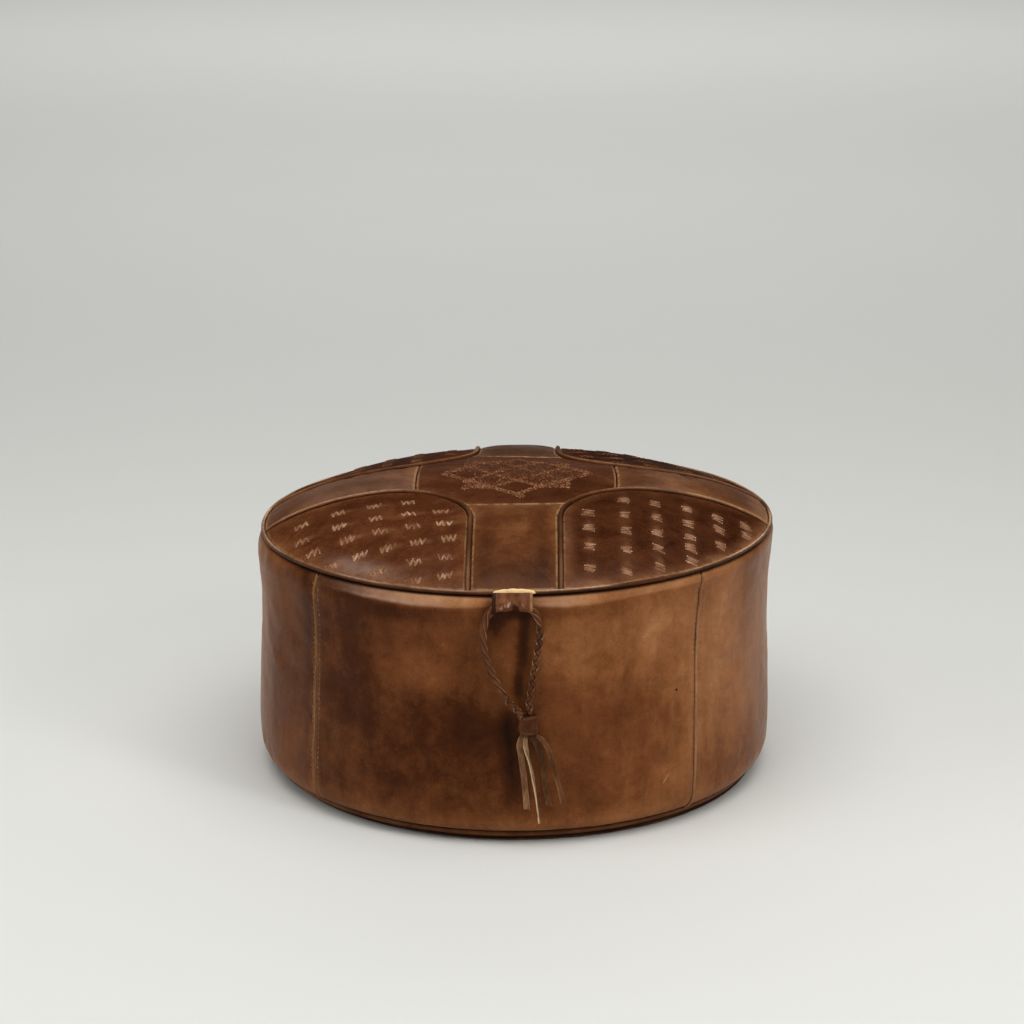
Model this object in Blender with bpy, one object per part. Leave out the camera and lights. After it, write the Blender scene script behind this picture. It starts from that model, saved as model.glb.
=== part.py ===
"""Stitched leather floor pouf: a round drum of leather panels over a lined foam filling.

Metres, +Z up. The origin is the centre of the base on the floor. The front, with the
braided hanging loop, faces -Y. Angles round the drum are measured from -Y towards +X.
"""

import math

import bmesh
import bpy
from mathutils import Vector

# ---------------------------------------------------------------- driving dimensions
R = 0.265                    # nominal wall radius
RIM_R, RIM_Z = 0.985 * R, 0.2552      # centre line of the rim piping
RIM_PIPE = 0.0026            # radius of the rim piping
DOME_EDGE = 0.2580           # outer radius of the top panels
DOME_BASE = 0.2562           # height of the top panels at their outer edge
DOME_RISE, DOME_POWER = 0.0475, 2.5   # crown of the top
PANEL_T = 0.0020             # leather of the top panels
WALL_T = 0.0022              # leather of the wall panels

SPOKE_HALF = 0.166 * R       # half width of the straight top strips
PETAL_CORNER = 0.370 * R     # corner radius of the four petal panels
CENTRE_HALF = 0.383 * R      # half size of the centre panel between its straight seams
PETAL_PIPE = 0.0024          # radius of the piping round a petal
GAP = 0.0004                 # clearance between sewn pieces

WALL_SEAM_DEG = 42.6         # first upright seam; the others follow every quarter turn
WALL_PIPE = 0.0016           # radius of the cord in an upright seam

SOLE_R, SOLE_T = 0.2482, 0.0054       # two-piece leather sole
SOLE_SLOT = 0.0072           # half width of the zip slot between the sole halves
SOLE_CHAMFER = 0.0015
BASE_PIPE_R, BASE_PIPE_Z, BASE_PIPE = 0.2505, 0.0086, 0.0028

ZIP_HALF = 0.165             # half length of the open slot
ZIP_PARK = 0.136             # slider position when closed
ZIP_TRAVEL = 2 * ZIP_PARK

LINER_T = 0.0008
LINER_TOP_DROP = 0.0044      # liner below the top panels
LINER_SIDE_GAP = 0.0018      # liner inside the wall panels
LINER_SLOT_HALF = 0.019
CORE_TOP = 0.2000            # split between foam core and crown wadding

BRAID_D = 0.0078             # round braid of the hanging loop
HANG_Y = -0.2701             # plane in which the loop hangs
TAB_HALF = 0.0173            # half width of the leather sleeve
TAB_T = 0.0016
HINGE_Y, HINGE_Z = -0.2657, 0.2552    # sewn edge on which sleeve and loop swing
HINGE_R = 0.0017
KNOT_X, KNOT_Y = 0.0133, -0.2706
KNOT_TOP, KNOT_BOTTOM = 0.1366, 0.1186
KNOT_W, KNOT_D = 0.0185, 0.0126
TASSEL_Z = 0.1172            # level on which the strips swing

TURN = 2 * math.pi


# ---------------------------------------------------------------- small helpers
def clear_scene():
    for ob in list(bpy.data.objects):
        bpy.data.objects.remove(ob, do_unlink=True)


def finish_of(name, rgb, rough, metal=0.0):
    m = bpy.data.materials.new(name + "_finish")
    m.use_nodes = True
    p = m.node_tree.nodes["Principled BSDF"]
    p.inputs["Base Color"].default_value = (*rgb, 1.0)
    p.inputs["Roughness"].default_value = rough
    p.inputs["Metallic"].default_value = metal
    m.diffuse_color = (*rgb, 1.0)
    return m


def pivot(name, at):
    ob = bpy.data.objects.new(name, None)
    ob.location = at
    ob.empty_display_size = 0.01
    bpy.context.collection.objects.link(ob)
    return ob


def solid(name, verts, faces, look, parent=None):
    """A closed mesh object; verts are world points, faces index lists."""
    base = Vector(parent.location) if parent else Vector((0, 0, 0))
    me = bpy.data.meshes.new(name)
    bm = bmesh.new()
    vs = [bm.verts.new(Vector(v) - base) for v in verts]
    for f in faces:
        bm.faces.new([vs[i] for i in f])
    bmesh.ops.recalc_face_normals(bm, faces=bm.faces)
    bm.to_mesh(me)
    bm.free()
    me.shade_smooth()
    me.set_sharp_from_angle(angle=math.radians(40))
    me.materials.append(finish_of(name, *look))
    ob = bpy.data.objects.new(name, me)
    bpy.context.collection.objects.link(ob)
    if parent:
        ob.parent = parent
    return ob


def loft(rings, closed=False, caps=True):
    """Verts and faces of a surface through rings of equally many points."""
    n = len(rings[0])
    verts = [p for ring in rings for p in ring]
    faces = []
    steps = len(rings) if closed else len(rings) - 1
    for i in range(steps):
        a, b = i * n, ((i + 1) % len(rings)) * n
        for j in range(n):
            k = (j + 1) % n
            faces.append((a + j, a + k, b + k, b + j))
    if caps and not closed:
        faces.append(tuple(range(n))[::-1])
        faces.append(tuple(range((len(rings) - 1) * n, len(rings) * n)))
    return verts, faces


def sweep(path, radius, sides, closed=False):
    """A round rod along a path of points."""
    path = [Vector(p) for p in path]
    count = len(path)
    tangents = []
    for i in range(count):
        a = path[(i - 1) % count] if closed or i else path[i]
        b = path[(i + 1) % count] if closed or i < count - 1 else path[i]
        tangents.append((b - a).normalized())
    up = Vector((0, 0, 1))
    if abs(tangents[0].dot(up)) > 0.9:
        up = Vector((0, 1, 0))
    rings = []
    for p, t in zip(path, tangents):
        side = up - t * up.dot(t)
        side.normalize()
        if not closed:
            up = side
        other = t.cross(side)
        rings.append([p + side * (radius * math.cos(TURN * j / sides))
                      + other * (radius * math.sin(TURN * j / sides)) for j in range(sides)])
    return loft(rings, closed)


def block(x0, x1, y0, y1, z0, z1):
    ring = lambda x: [(x, y0, z0), (x, y1, z0), (x, y1, z1), (x, y0, z1)]
    return loft([ring(x0), ring(x1)])


def polar(r, deg, z):
    a = math.radians(deg)
    return (r * math.sin(a), -r * math.cos(a), z)


def smooth_through(points, per_span):
    """A Catmull-Rom curve through points, with centripetal spacing."""
    pts = [Vector(p) for p in points]
    pts = [pts[0] * 2 - pts[1]] + pts + [pts[-1] * 2 - pts[-2]]
    out = []
    for i in range(1, len(pts) - 2):
        p0, p1, p2, p3 = pts[i - 1:i + 3]
        t0 = 0.0
        t1 = t0 + (p1 - p0).length ** 0.5
        t2 = t1 + (p2 - p1).length ** 0.5
        t3 = t2 + (p3 - p2).length ** 0.5
        for s in range(per_span):
            t = t1 + (t2 - t1) * s / per_span
            a1 = p0 * ((t1 - t) / (t1 - t0)) + p1 * ((t - t0) / (t1 - t0))
            a2 = p1 * ((t2 - t) / (t2 - t1)) + p2 * ((t - t1) / (t2 - t1))
            a3 = p2 * ((t3 - t) / (t3 - t2)) + p3 * ((t - t2) / (t3 - t2))
            b1 = a1 * ((t2 - t) / (t2 - t0)) + a2 * ((t - t0) / (t2 - t0))
            b2 = a2 * ((t3 - t) / (t3 - t1)) + a3 * ((t - t1) / (t3 - t1))
            out.append(b1 * ((t2 - t) / (t2 - t1)) + b2 * ((t - t1) / (t2 - t1)))
    out.append(pts[-2])
    return out


def even(points, spacing):
    """The same line with points at an even spacing."""
    run = [0.0]
    for a, b in zip(points, points[1:]):
        run.append(run[-1] + (b - a).length)
    n = max(2, round(run[-1] / spacing))
    out, i = [], 0
    for k in range(n + 1):
        s = run[-1] * k / n
        while i < len(run) - 2 and run[i + 1] < s:
            i += 1
        u = (s - run[i]) / (run[i + 1] - run[i])
        out.append(points[i].lerp(points[i + 1], u))
    return out


# ---------------------------------------------------------------- the drum's outline
WALL_PROFILE = [             # (height / R, radius / R), base to rim
    (0.0450, 0.9560), (0.0540, 0.9730), (0.0720, 0.9885), (0.1050, 0.9990),
    (0.1500, 1.0010), (0.2150, 1.0004), (0.3300, 0.9965), (0.4550, 0.9920),
    (0.5600, 0.9870), (0.6600, 0.9837), (0.7550, 0.9840), (0.8500, 0.9920),
    (0.9000, 0.9950), (0.9490, 0.9895)]


def wall_radius(z):
    zs = z / R
    p = WALL_PROFILE
    if zs <= p[0][0]:
        return p[0][1] * R
    for (z0, r0), (z1, r1) in zip(p, p[1:]):
        if zs <= z1:
            return R * (r0 + (r1 - r0) * (zs - z0) / (z1 - z0))
    return p[-1][1] * R


def dome(x, y):
    rho = min(1.0, math.hypot(x, y) / DOME_EDGE)
    return DOME_BASE + DOME_RISE * (1 - rho ** DOME_POWER)


# Quarter turns: 0 front, 1 right, 2 rear, 3 left.
def quarter(p, k):
    x, y = p
    for _ in range(k % 4):
        x, y = -y, x
    return (x, y)


def edge_run(a, b, n):
    return [(a[0] + (b[0] - a[0]) * i / n, a[1] + (b[1] - a[1]) * i / n) for i in range(n)]


def arc_run(cx, cy, r, a0, a1, n):
    return [(cx + r * math.cos(a0 + (a1 - a0) * i / n), cy + r * math.sin(a0 + (a1 - a0) * i / n))
            for i in range(n)]


CORNER_C = SPOKE_HALF + PETAL_CORNER


def petal_outline(offset):
    """Front-right petal, its sewn edge moved inwards by offset."""
    d, r = SPOKE_HALF + offset, PETAL_CORNER - offset
    far = math.sqrt(DOME_EDGE ** 2 - d ** 2)
    pts = edge_run((d, -far), (d, -CORNER_C), 3)
    pts += arc_run(CORNER_C, -CORNER_C, r, math.pi, math.pi / 2, 7)
    pts += edge_run((CORNER_C, -d), (far, -d), 3)
    a0, a1 = math.atan2(-d, far), math.atan2(-far, d)
    pts += arc_run(0, 0, DOME_EDGE, a0, a1, 13)
    return pts


def spoke_outline(offset, seam):
    """Front strip, from the centre seam to the rim."""
    w, r = SPOKE_HALF - offset, PETAL_CORNER + offset
    far = math.sqrt(DOME_EDGE ** 2 - w ** 2)
    inner = CENTRE_HALF + seam
    top = math.pi - math.asin((CORNER_C - inner) / r)
    right = edge_run((w, -far), (w, -CORNER_C), 4) + arc_run(CORNER_C, -CORNER_C, r, math.pi, top, 3)
    right.append((CORNER_C + r * math.cos(top), -CORNER_C + r * math.sin(top)))
    left = [(-x, y) for x, y in right]
    across = edge_run(right[-1], left[-1], 4)[1:]
    a0, a1 = math.atan2(-far, -w), math.atan2(-far, w)
    rim = arc_run(0, 0, DOME_EDGE, a0, a1, 5)[1:]
    return right + across + left[::-1] + rim


def centre_outline(offset, seam):
    r, inner = PETAL_CORNER + offset, CENTRE_HALF - seam
    low = math.pi - math.asin((CORNER_C - inner) / r)
    high = math.pi / 2 + math.asin((CORNER_C - inner) / r)
    one = arc_run(CORNER_C, -CORNER_C, r, low, high, 4)
    last = (CORNER_C + r * math.cos(high), -CORNER_C + r * math.sin(high))
    first_next = quarter(one[0], 1)
    one += edge_run(last, first_next, 4)
    return [quarter(p, k) for k in range(4) for p in one]


def crowned_plate(name, outline, look):
    """A leather panel that follows the crown of the top."""
    n = len(outline)
    cx, cy = sum(p[0] for p in outline) / n, sum(p[1] for p in outline) / n
    scales = (1.0, 0.55)
    top = [(cx + (x - cx) * s, cy + (y - cy) * s) for s in scales for x, y in outline] + [(cx, cy)]
    m = len(top)
    verts = [(x, y, dome(x, y)) for x, y in top] + [(x, y, dome(x, y) - PANEL_T) for x, y in top]
    faces = []
    for j in range(n):
        k = (j + 1) % n
        for o in (0, m):
            faces.append((o + j, o + k, o + n + k, o + n + j))
            faces.append((o + n + j, o + n + k, o + m - 1))
        faces.append((j, k, m + k, m + j))
    return solid(name, verts, faces, look)


def turned(profile, segments, start=0.0, end=360.0):
    """Rings of a turned profile of (radius, height) points."""
    full = abs(end - start - 360.0) < 1e-6
    count = segments if full else segments + 1
    return [[polar(r, start + (end - start) * i / segments, z) for r, z in profile]
            for i in range(count)], full


def turned_capped(profile, segments):
    """A turned solid whose profile starts and ends on the axis."""
    body = profile[1:-1]
    rings, _ = turned(body, segments)
    n = len(body)
    verts = [p for ring in rings for p in ring]
    top, low = len(verts), len(verts) + 1
    verts += [(0, 0, profile[0][1]), (0, 0, profile[-1][1])]
    faces = []
    for i in range(segments):
        a, b = i * n, ((i + 1) % segments) * n
        for j in range(n - 1):
            faces.append((a + j, a + j + 1, b + j + 1, b + j))
        faces.append((top, a, b))
        faces.append((low, b + n - 1, a + n - 1))
    return verts, faces


# ---------------------------------------------------------------- finishes (sRGB-linear colour, roughness)
TOP_BROWN = ((0.105, 0.040, 0.018), 0.42)
PETAL_BROWN = ((0.085, 0.030, 0.013), 0.40)
CENTRE_BROWN = ((0.090, 0.036, 0.017), 0.45)
WALL_BROWN = ((0.125, 0.050, 0.021), 0.42)
PIPE_BROWN = ((0.110, 0.045, 0.021), 0.45)
SOLE_DARK = ((0.030, 0.014, 0.008), 0.60)
BRAID_BROWN = ((0.095, 0.040, 0.022), 0.55)
KNOT_BROWN = ((0.055, 0.020, 0.010), 0.55)
RAW_TAN = ((0.450, 0.250, 0.110), 0.70)
STRIP_TAN = ((0.240, 0.120, 0.055), 0.70)
STRIP_DARK = ((0.070, 0.035, 0.018), 0.60)
LINEN = ((0.620, 0.560, 0.460), 0.90)
WADDING = ((0.800, 0.780, 0.720), 0.95)
FOAM = ((0.780, 0.700, 0.520), 0.95)
TAPE = ((0.050, 0.030, 0.020), 0.85)
TEETH = ((0.300, 0.200, 0.080), 0.35, 1.0)
BRASS = ((0.420, 0.300, 0.120), 0.30, 1.0)


# ---------------------------------------------------------------- top
def build_top():
    off = PETAL_PIPE + GAP
    sides = ("front", "right", "rear", "left")
    corners = ("front_right", "rear_right", "rear_left", "front_left")
    crowned_plate("centre_panel", centre_outline(off, 0.00025), CENTRE_BROWN)
    for k in range(4):
        crowned_plate("top_strip_" + sides[k],
                      [quarter(p, k) for p in spoke_outline(off, 0.00025)], TOP_BROWN)
        crowned_plate("petal_" + corners[k],
                      [quarter(p, k) for p in petal_outline(off)], PETAL_BROWN)
        # piping along the sewn edge of the petal, rim to rim round its inner corner
        end = math.sqrt(0.2570 ** 2 - SPOKE_HALF ** 2)
        line = edge_run((SPOKE_HALF, -end), (SPOKE_HALF, -CORNER_C), 5)
        line += arc_run(CORNER_C, -CORNER_C, PETAL_CORNER, math.pi, math.pi / 2, 9)
        line += edge_run((CORNER_C, -SPOKE_HALF), (end, -SPOKE_HALF), 5) + [(end, -SPOKE_HALF)]
        line = [quarter(p, k) for p in line]
        solid("petal_piping_" + corners[k],
              *sweep([(x, y, dome(x, y) - 0.0005) for x, y in line], PETAL_PIPE, 6), PIPE_BROWN)
    # rim piping, open at the front where the handle sleeve is sewn in
    open_deg = math.degrees((TAB_HALF + 0.0040) / RIM_R)
    n = 60
    ring = [polar(RIM_R, open_deg + (360 - 2 * open_deg) * i / n, RIM_Z) for i in range(n + 1)]
    solid("rim_piping", *sweep(ring, RIM_PIPE, 6), PIPE_BROWN)


# ---------------------------------------------------------------- wall
def build_wall():
    names = ("front", "right", "rear", "left")
    half = math.degrees((WALL_PIPE + GAP) / R)
    for k in range(4):
        end = WALL_SEAM_DEG + 90 * k
        start = end - 90
        outer = [(r * R, z * R) for z, r in WALL_PROFILE]
        profile = outer + [(r - WALL_T, z) for r, z in outer[::-1]]
        rings, _ = turned(profile, 12, start + half, end - half)
        solid("wall_panel_" + names[k], *loft(rings), WALL_BROWN)
        line = [polar(wall_radius(z) - 0.0004, end, z)
                for z in [R * p[0] for p in WALL_PROFILE[1:-1]] + [R * 0.944]]
        line[0] = polar(wall_radius(R * 0.058) - 0.0004, end, R * 0.058)
        solid("wall_seam_" + ("front_right", "rear_right", "rear_left", "front_left")[k],
              *sweep(line, WALL_PIPE, 6), PIPE_BROWN)


# ---------------------------------------------------------------- base and zip
def build_base():
    ring = [polar(BASE_PIPE_R, 360 * i / 60, BASE_PIPE_Z) for i in range(60)]
    solid("base_piping", *sweep(ring, BASE_PIPE, 6, closed=True), PIPE_BROWN)

    def half_disc(inset, sign):
        r, s = SOLE_R - inset, SOLE_SLOT
        a = math.asin(s / r)
        pts = [(r * math.cos(a + (math.pi - 2 * a) * i / 30),
                r * math.sin(a + (math.pi - 2 * a) * i / 30)) for i in range(31)]
        return [(x, sign * y) for x, y in pts]

    for name, sign in (("sole_front", -1), ("sole_rear", 1)):
        rings = [[(x, y, z) for x, y in half_disc(inset, sign)]
                 for inset, z in ((SOLE_CHAMFER, 0.0), (0.0, SOLE_CHAMFER), (0.0, SOLE_T))]
        solid(name, *loft(rings), SOLE_DARK)

    for name, sign in (("zip_end_right", 1), ("zip_end_left", -1)):
        w = SOLE_SLOT - 0.0006
        def ring(z, inset):
            r = SOLE_R - inset
            pts = [(ZIP_HALF + 0.0006, -w)]
            for i in range(5):
                y = -w + 2 * w * i / 4
                pts.append((math.sqrt(r * r - y * y), y))
            pts.append((ZIP_HALF + 0.0006, w))
            return [(sign * x, y, z) for x, y in pts]
        rings = [ring(0.0003, SOLE_CHAMFER), ring(SOLE_CHAMFER, 0.0), ring(SOLE_T, 0.0)]
        solid(name, *loft(rings), SOLE_DARK)

    for name, sign in (("front", -1), ("rear", 1)):
        y = sorted((sign * 0.0037, sign * 0.0150))
        solid("zip_tape_" + name, *block(-0.172, 0.172, *y, 0.0057, 0.0063), TAPE)
        y = sorted((sign * 0.0010, sign * 0.0033))
        solid("zip_teeth_" + name, *block(-0.158, 0.158, *y, 0.0049, 0.0071), TEETH)
    for name, sign in (("left", -1), ("right", 1)):
        x = sorted((sign * 0.1585, sign * 0.1620))
        solid("zip_stop_" + name, *block(*x, -0.0033, 0.0033, 0.0047, 0.0073), BRASS)

    # slider: two plates round the teeth, joined by a post, with a bridge below for the pull
    slide = pivot("zip_slider_origin", (ZIP_PARK, 0, 0.0025))
    cx = ZIP_PARK

    def cross(x, bridge):
        """Section of the slider across the zip at x, as one outline going round."""
        w, low, high = 0.0050, 0.0032, 0.0045
        leg = (0.0011, 0.0012) if bridge else (0.0006, low - 0.00015)
        pts = [(-w, low), (-0.0012, low - 0.00005), (-leg[0], leg[1]), (leg[0], leg[1]),
               (0.0012, low - 0.00005), (w, low), (w, high),
               (0.0006, high), (0.0006, 0.0076), (w, 0.0076), (w, 0.0087), (-w, 0.0087),
               (-w, 0.0076), (-0.0006, 0.0076), (-0.0006, high), (-w, high)]
        return [(x, y, z) for y, z in pts]

    body = [cross(cx + dx, False) for dx in (-0.0065, -0.0045)]
    body += [cross(cx + dx, True) for dx in (-0.0044, -0.0034)]
    body += [cross(cx + dx, False) for dx in (-0.0033, 0.0033)]
    body += [cross(cx + dx, True) for dx in (0.0034, 0.0044)]
    body += [cross(cx + dx, False) for dx in (0.0045, 0.0065)]
    slider = solid("zip_slider", *loft(body), BRASS, slide)
    bar = solid("zip_slider_bridge_form", *block(cx - 0.0040, cx + 0.0040, -0.0009, 0.0009, 0.0013, 0.0019),
                BRASS, slide)
    bar.hide_render = True
    bar.display_type = "WIRE"
    join = slider.modifiers.new("bridge", "BOOLEAN")
    join.operation = "UNION"
    join.solver = "EXACT"
    join.object = bar

    # pull: a frame round the bridge and a flat blade, lying along the zip
    swing = pivot("zip_pull_pivot", (ZIP_PARK, 0, 0.00255))
    z0, z1 = 0.0022, 0.0029
    outline = [(0.00035, -0.0026), (0.00035, 0.0026), (-0.0080, 0.0026), (-0.0110, 0.0032),
               (-0.0220, 0.0032), (-0.0238, 0.0018), (-0.0238, -0.0018), (-0.0220, -0.0032),
               (-0.0110, -0.0032), (-0.0080, -0.0026)]
    hole = [(-0.00035, -0.0016), (-0.00035, 0.0016), (-0.0062, 0.0016), (-0.0070, 0.0010),
            (-0.0076, 0.0006), (-0.0078, 0.0002), (-0.0078, -0.0002), (-0.0076, -0.0006),
            (-0.0070, -0.0010), (-0.0062, -0.0016)]
    rings = [[(cx + x, y, z) for x, y in line] for line, z in
             ((outline, z0), (outline, z1), (hole, z1), (hole, z0))]
    solid("zip_pull", *loft(rings, closed=True), BRASS, swing)


# ---------------------------------------------------------------- filling
def build_inside():
    def inner_wall(z, gap):
        return wall_radius(z) - WALL_T - gap

    def top_line(drop, r_max, n):
        return [(r_max * i / n, dome(r_max * i / n, 0) - drop) for i in range(n + 1)]

    # cotton liner bag, open along the zip
    def bag(extra):
        gap = LINER_SIDE_GAP + extra
        drop = LINER_TOP_DROP + extra
        line = top_line(drop, 0.2480 - extra, 4)
        line += [(inner_wall(z, gap), z) for z in (0.2420, 0.2000, 0.1500, 0.0900, 0.0450)]
        line += [(0.2520 - extra, 0.0210), (0.2370 - extra, 0.0128),
                 (0.2300 - extra, 0.0058 + extra), (0.0, 0.0058 + extra)]
        return line

    outer, inner = bag(0.0), bag(LINER_T)
    v0, f0 = turned_capped(outer, 36)
    v1, f1 = turned_capped(inner, 36)
    liner = solid("liner_bag", v0, f0, LINEN)
    room = solid("liner_bag_room", v1, f1, LINEN)
    mouth = solid("liner_bag_mouth", *block(-0.180, 0.180, -LINER_SLOT_HALF, LINER_SLOT_HALF,
                                            0.0030, 0.0075), LINEN)
    for cutter, label in ((room, "hollow"), (mouth, "mouth")):
        cutter.hide_render = True
        cutter.display_type = "WIRE"
        cut = liner.modifiers.new(label, "BOOLEAN")
        cut.operation = "DIFFERENCE"
        cut.solver = "EXACT"
        cut.object = cutter

    g = LINER_SIDE_GAP + LINER_T + 0.0012
    core = [(0.0, CORE_TOP)]
    core += [(inner_wall(0.19, g), CORE_TOP), (inner_wall(0.15, g), 0.1500),
             (inner_wall(0.09, g), 0.0900), (inner_wall(0.045, g), 0.0450),
             (0.2490, 0.0220), (0.2320, 0.0140), (0.2270, 0.0094), (0.0, 0.0094)]
    solid("foam_core", *turned_capped(core, 36), FOAM)

    pad = top_line(LINER_TOP_DROP + LINER_T + 0.0010, 0.2450, 4)
    pad += [(inner_wall(0.2380, g), 0.2380), (inner_wall(CORE_TOP, g), CORE_TOP + 0.0005),
            (0.0, CORE_TOP + 0.0005)]
    solid("crown_wadding", *turned_capped(pad, 36), WADDING)


# ---------------------------------------------------------------- hanging loop
# Route of the braid, in millimetres (across, height): knot, left leg, sleeve, right leg, knot.
ROUTE_MM = [(7.1, 137.0), (3.8, 142.0), (-2.1, 147.6), (-10.6, 158.2), (-18.1, 171.5),
            (-23.8, 185.2), (-27.7, 198.5), (-29.4, 212.0), (-28.7, 224.0), (-25.4, 234.8),
            (-19.2, 242.9), (-10.5, 247.2), (-1.5, 248.4), (7.5, 247.2), (15.5, 243.0),
            (21.3, 235.6), (24.2, 226.0), (24.0, 214.0), (21.9, 200.5), (19.5, 186.0),
            (17.1, 171.5), (15.3, 158.2), (14.1, 147.0), (14.4, 137.0)]


def braid_route():
    pts = []
    for i, (x, z) in enumerate(ROUTE_MM):
        near = max(0.0, min(1.0, (172.0 - z) / 28.0))
        near = near * near * (3 - 2 * near)
        side = -1 if i < len(ROUTE_MM) / 2 else 1
        pts.append((x / 1000, HANG_Y + side * 0.0026 * near, z / 1000))
    return even(smooth_through(pts, 8), 0.0068)


def build_handle():
    swing = pivot("handle_pivot", (0, HINGE_Y, HINGE_Z))
    route = braid_route()
    cu = bpy.data.curves.new("handle_braid", "CURVE")
    cu.dimensions = "3D"
    cu.bevel_depth = BRAID_D / 2
    cu.bevel_resolution = 2
    cu.use_fill_caps = True
    sp = cu.splines.new("POLY")
    sp.points.add(len(route) - 1)
    for p, q in zip(sp.points, route):
        p.co = (*(q - swing.location), 1.0)
    cu.materials.append(finish_of("handle_braid", *BRAID_BROWN))
    braid = bpy.data.objects.new("handle_braid", cu)
    bpy.context.collection.objects.link(braid)
    braid.parent = swing

    # leather sleeve round the top of the loop, sewn to the rim along its upper edge
    fine = even(smooth_through([(x / 1000, HANG_Y, z / 1000) for x, z in ROUTE_MM[8:17]], 12), 0.0005)

    def arch(x):
        i = min(range(1, len(fine) - 1), key=lambda k: abs(fine[k].x - x))
        d = (fine[i + 1] - fine[i - 1]).normalized()
        return fine[i].z, abs(d.x)

    n, outer, inner = 16, [], []
    for s in range(11):
        x = -TAB_HALF + 2 * TAB_HALF * s / 10
        z, lean = arch(x)
        lean = max(0.62, lean)
        ri = BRAID_D / 2 + 0.0007
        ro = ri + TAB_T
        hole, skin = [], []
        for j in range(n):
            dy, dz = math.sin(TURN * j / n), -math.cos(TURN * j / n)
            hole.append((x, HANG_Y + ri * dy, z + ri / lean * dz))
            # teardrop: round below the braid, narrowing to the sewn edge above
            if HINGE_Y * dy + HINGE_Z * dz + HINGE_R > HANG_Y * dy + z * dz + ro:
                skin.append((x, HINGE_Y + HINGE_R * dy, HINGE_Z + HINGE_R * dz))
            else:
                skin.append((x, HANG_Y + ro * dy, z + ro * (1 / lean if dz < 0 else 1) * dz))
        inner.append(hole)
        outer.append(skin)
    verts = [p for ring in outer for p in ring] + [p for ring in inner for p in ring]
    m, faces = 11 * n, []
    for s in range(10):
        for j in range(n):
            k = (j + 1) % n
            a, b = s * n, (s + 1) * n
            faces.append((a + j, a + k, b + k, b + j))
            faces.append((m + a + k, m + a + j, m + b + j, m + b + k))
    for s in (0, 10):
        for j in range(n):
            k = (j + 1) % n
            faces.append((s * n + j, s * n + k, m + s * n + k, m + s * n + j))
    solid("handle_sleeve", verts, faces, BRAID_BROWN, swing)

    # raw-edged leather fold that fills the rim above the sleeve
    rings = []
    for i in range(9):
        u = -1 + 2 * i / 8
        deg = math.degrees(u * (TAB_HALF + 0.0032) / RIM_R)
        fat = 0.35 + 0.65 * math.sqrt(max(0.0, 1 - (0.97 * u) ** 2))
        rings.append([polar(RIM_R - 0.0004 + 0.0023 * math.cos(TURN * j / 8), deg,
                            RIM_Z + 0.0004 + 0.0029 * fat * math.sin(TURN * j / 8)) for j in range(8)])
    solid("rim_fold", *loft(rings), RAW_TAN)

    # wrapped knot
    profile = ((0.0, 0.66), (0.08, 0.86), (0.3, 0.98), (0.55, 1.0), (0.8, 0.95), (0.94, 0.84), (1.0, 0.70))
    rings = [[(KNOT_X + KNOT_W / 2 * s * math.cos(TURN * j / 14),
               KNOT_Y + KNOT_D / 2 * s * math.sin(TURN * j / 14),
               KNOT_BOTTOM + (KNOT_TOP - KNOT_BOTTOM) * u) for j in range(14)] for u, s in profile]
    solid("handle_knot", *loft(rings), KNOT_BROWN, swing)

    # four cut strips under the knot: (across, depth, height) in millimetres, width, finish
    fall = pivot("tassel_pivot", (KNOT_X, KNOT_Y, TASSEL_Z))
    strips = {
        "tassel_strip_a": ([(7.6, -270.6, 117.6), (5.2, -271.2, 109.6), (7.4, -271.8, 90.3),
                            (9.6, -271.7, 72.4), (12.2, -271.6, 41.9)], 0.0056, (1, 0.15), STRIP_TAN),
        "tassel_strip_b": ([(11.2, -270.6, 117.6), (10.6, -272.0, 108.5), (12.9, -272.9, 96.5),
                            (16.2, -273.0, 82.0), (19.9, -272.8, 59.9), (23.9, -272.6, 27.9)],
                           0.0050, (0.45, 1), RAW_TAN),
        "tassel_strip_c": ([(15.0, -270.6, 117.6), (21.0, -270.0, 108.8), (26.0, -269.4, 93.1),
                            (28.6, -269.2, 76.5), (29.8, -269.0, 62.7), (33.4, -269.0, 44.6)],
                           0.0054, (1, 0.2), STRIP_DARK),
        "tassel_strip_d": ([(18.8, -270.6, 117.6), (26.4, -272.4, 113.4), (32.6, -273.2, 102.6),
                            (37.4, -273.1, 86.2), (42.0, -273.0, 68.2), (46.5, -272.9, 48.8)],
                           0.0044, (1, 0.6), STRIP_DARK),
    }
    for name, (mm, width, facing, look) in strips.items():
        line = even(smooth_through([(x / 1000, y / 1000, z / 1000) for x, y, z in mm], 6), 0.0100)
        rings = []
        for i, p in enumerate(line):
            t = (line[min(i + 1, len(line) - 1)] - line[max(i - 1, 0)]).normalized()
            if i == 0:
                t = Vector((0, 0, -1))
            # the top lies flat under the knot and twists to its own facing within 30 mm
            turn = min(1.0, i / 3)
            flat = Vector((1 + (facing[0] - 1) * turn, 0.05 + (facing[1] - 0.05) * turn, 0))
            flat = (flat - t * flat.dot(t)).normalized()
            thick = t.cross(flat)
            grow = (0.50, 0.85)[i] if i < 2 else 1.0
            w, h = flat * (width / 2 * grow), thick * 0.0008
            rings.append([p - w - h, p + w - h, p + w + h, p - w + h])
        solid(name, *loft(rings), look, fall)


clear_scene()
build_top()
build_wall()
build_base()
build_inside()
build_handle()
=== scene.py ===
import math
import bpy
import numpy as np
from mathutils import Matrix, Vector
from mathutils.bvhtree import BVHTree


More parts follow.
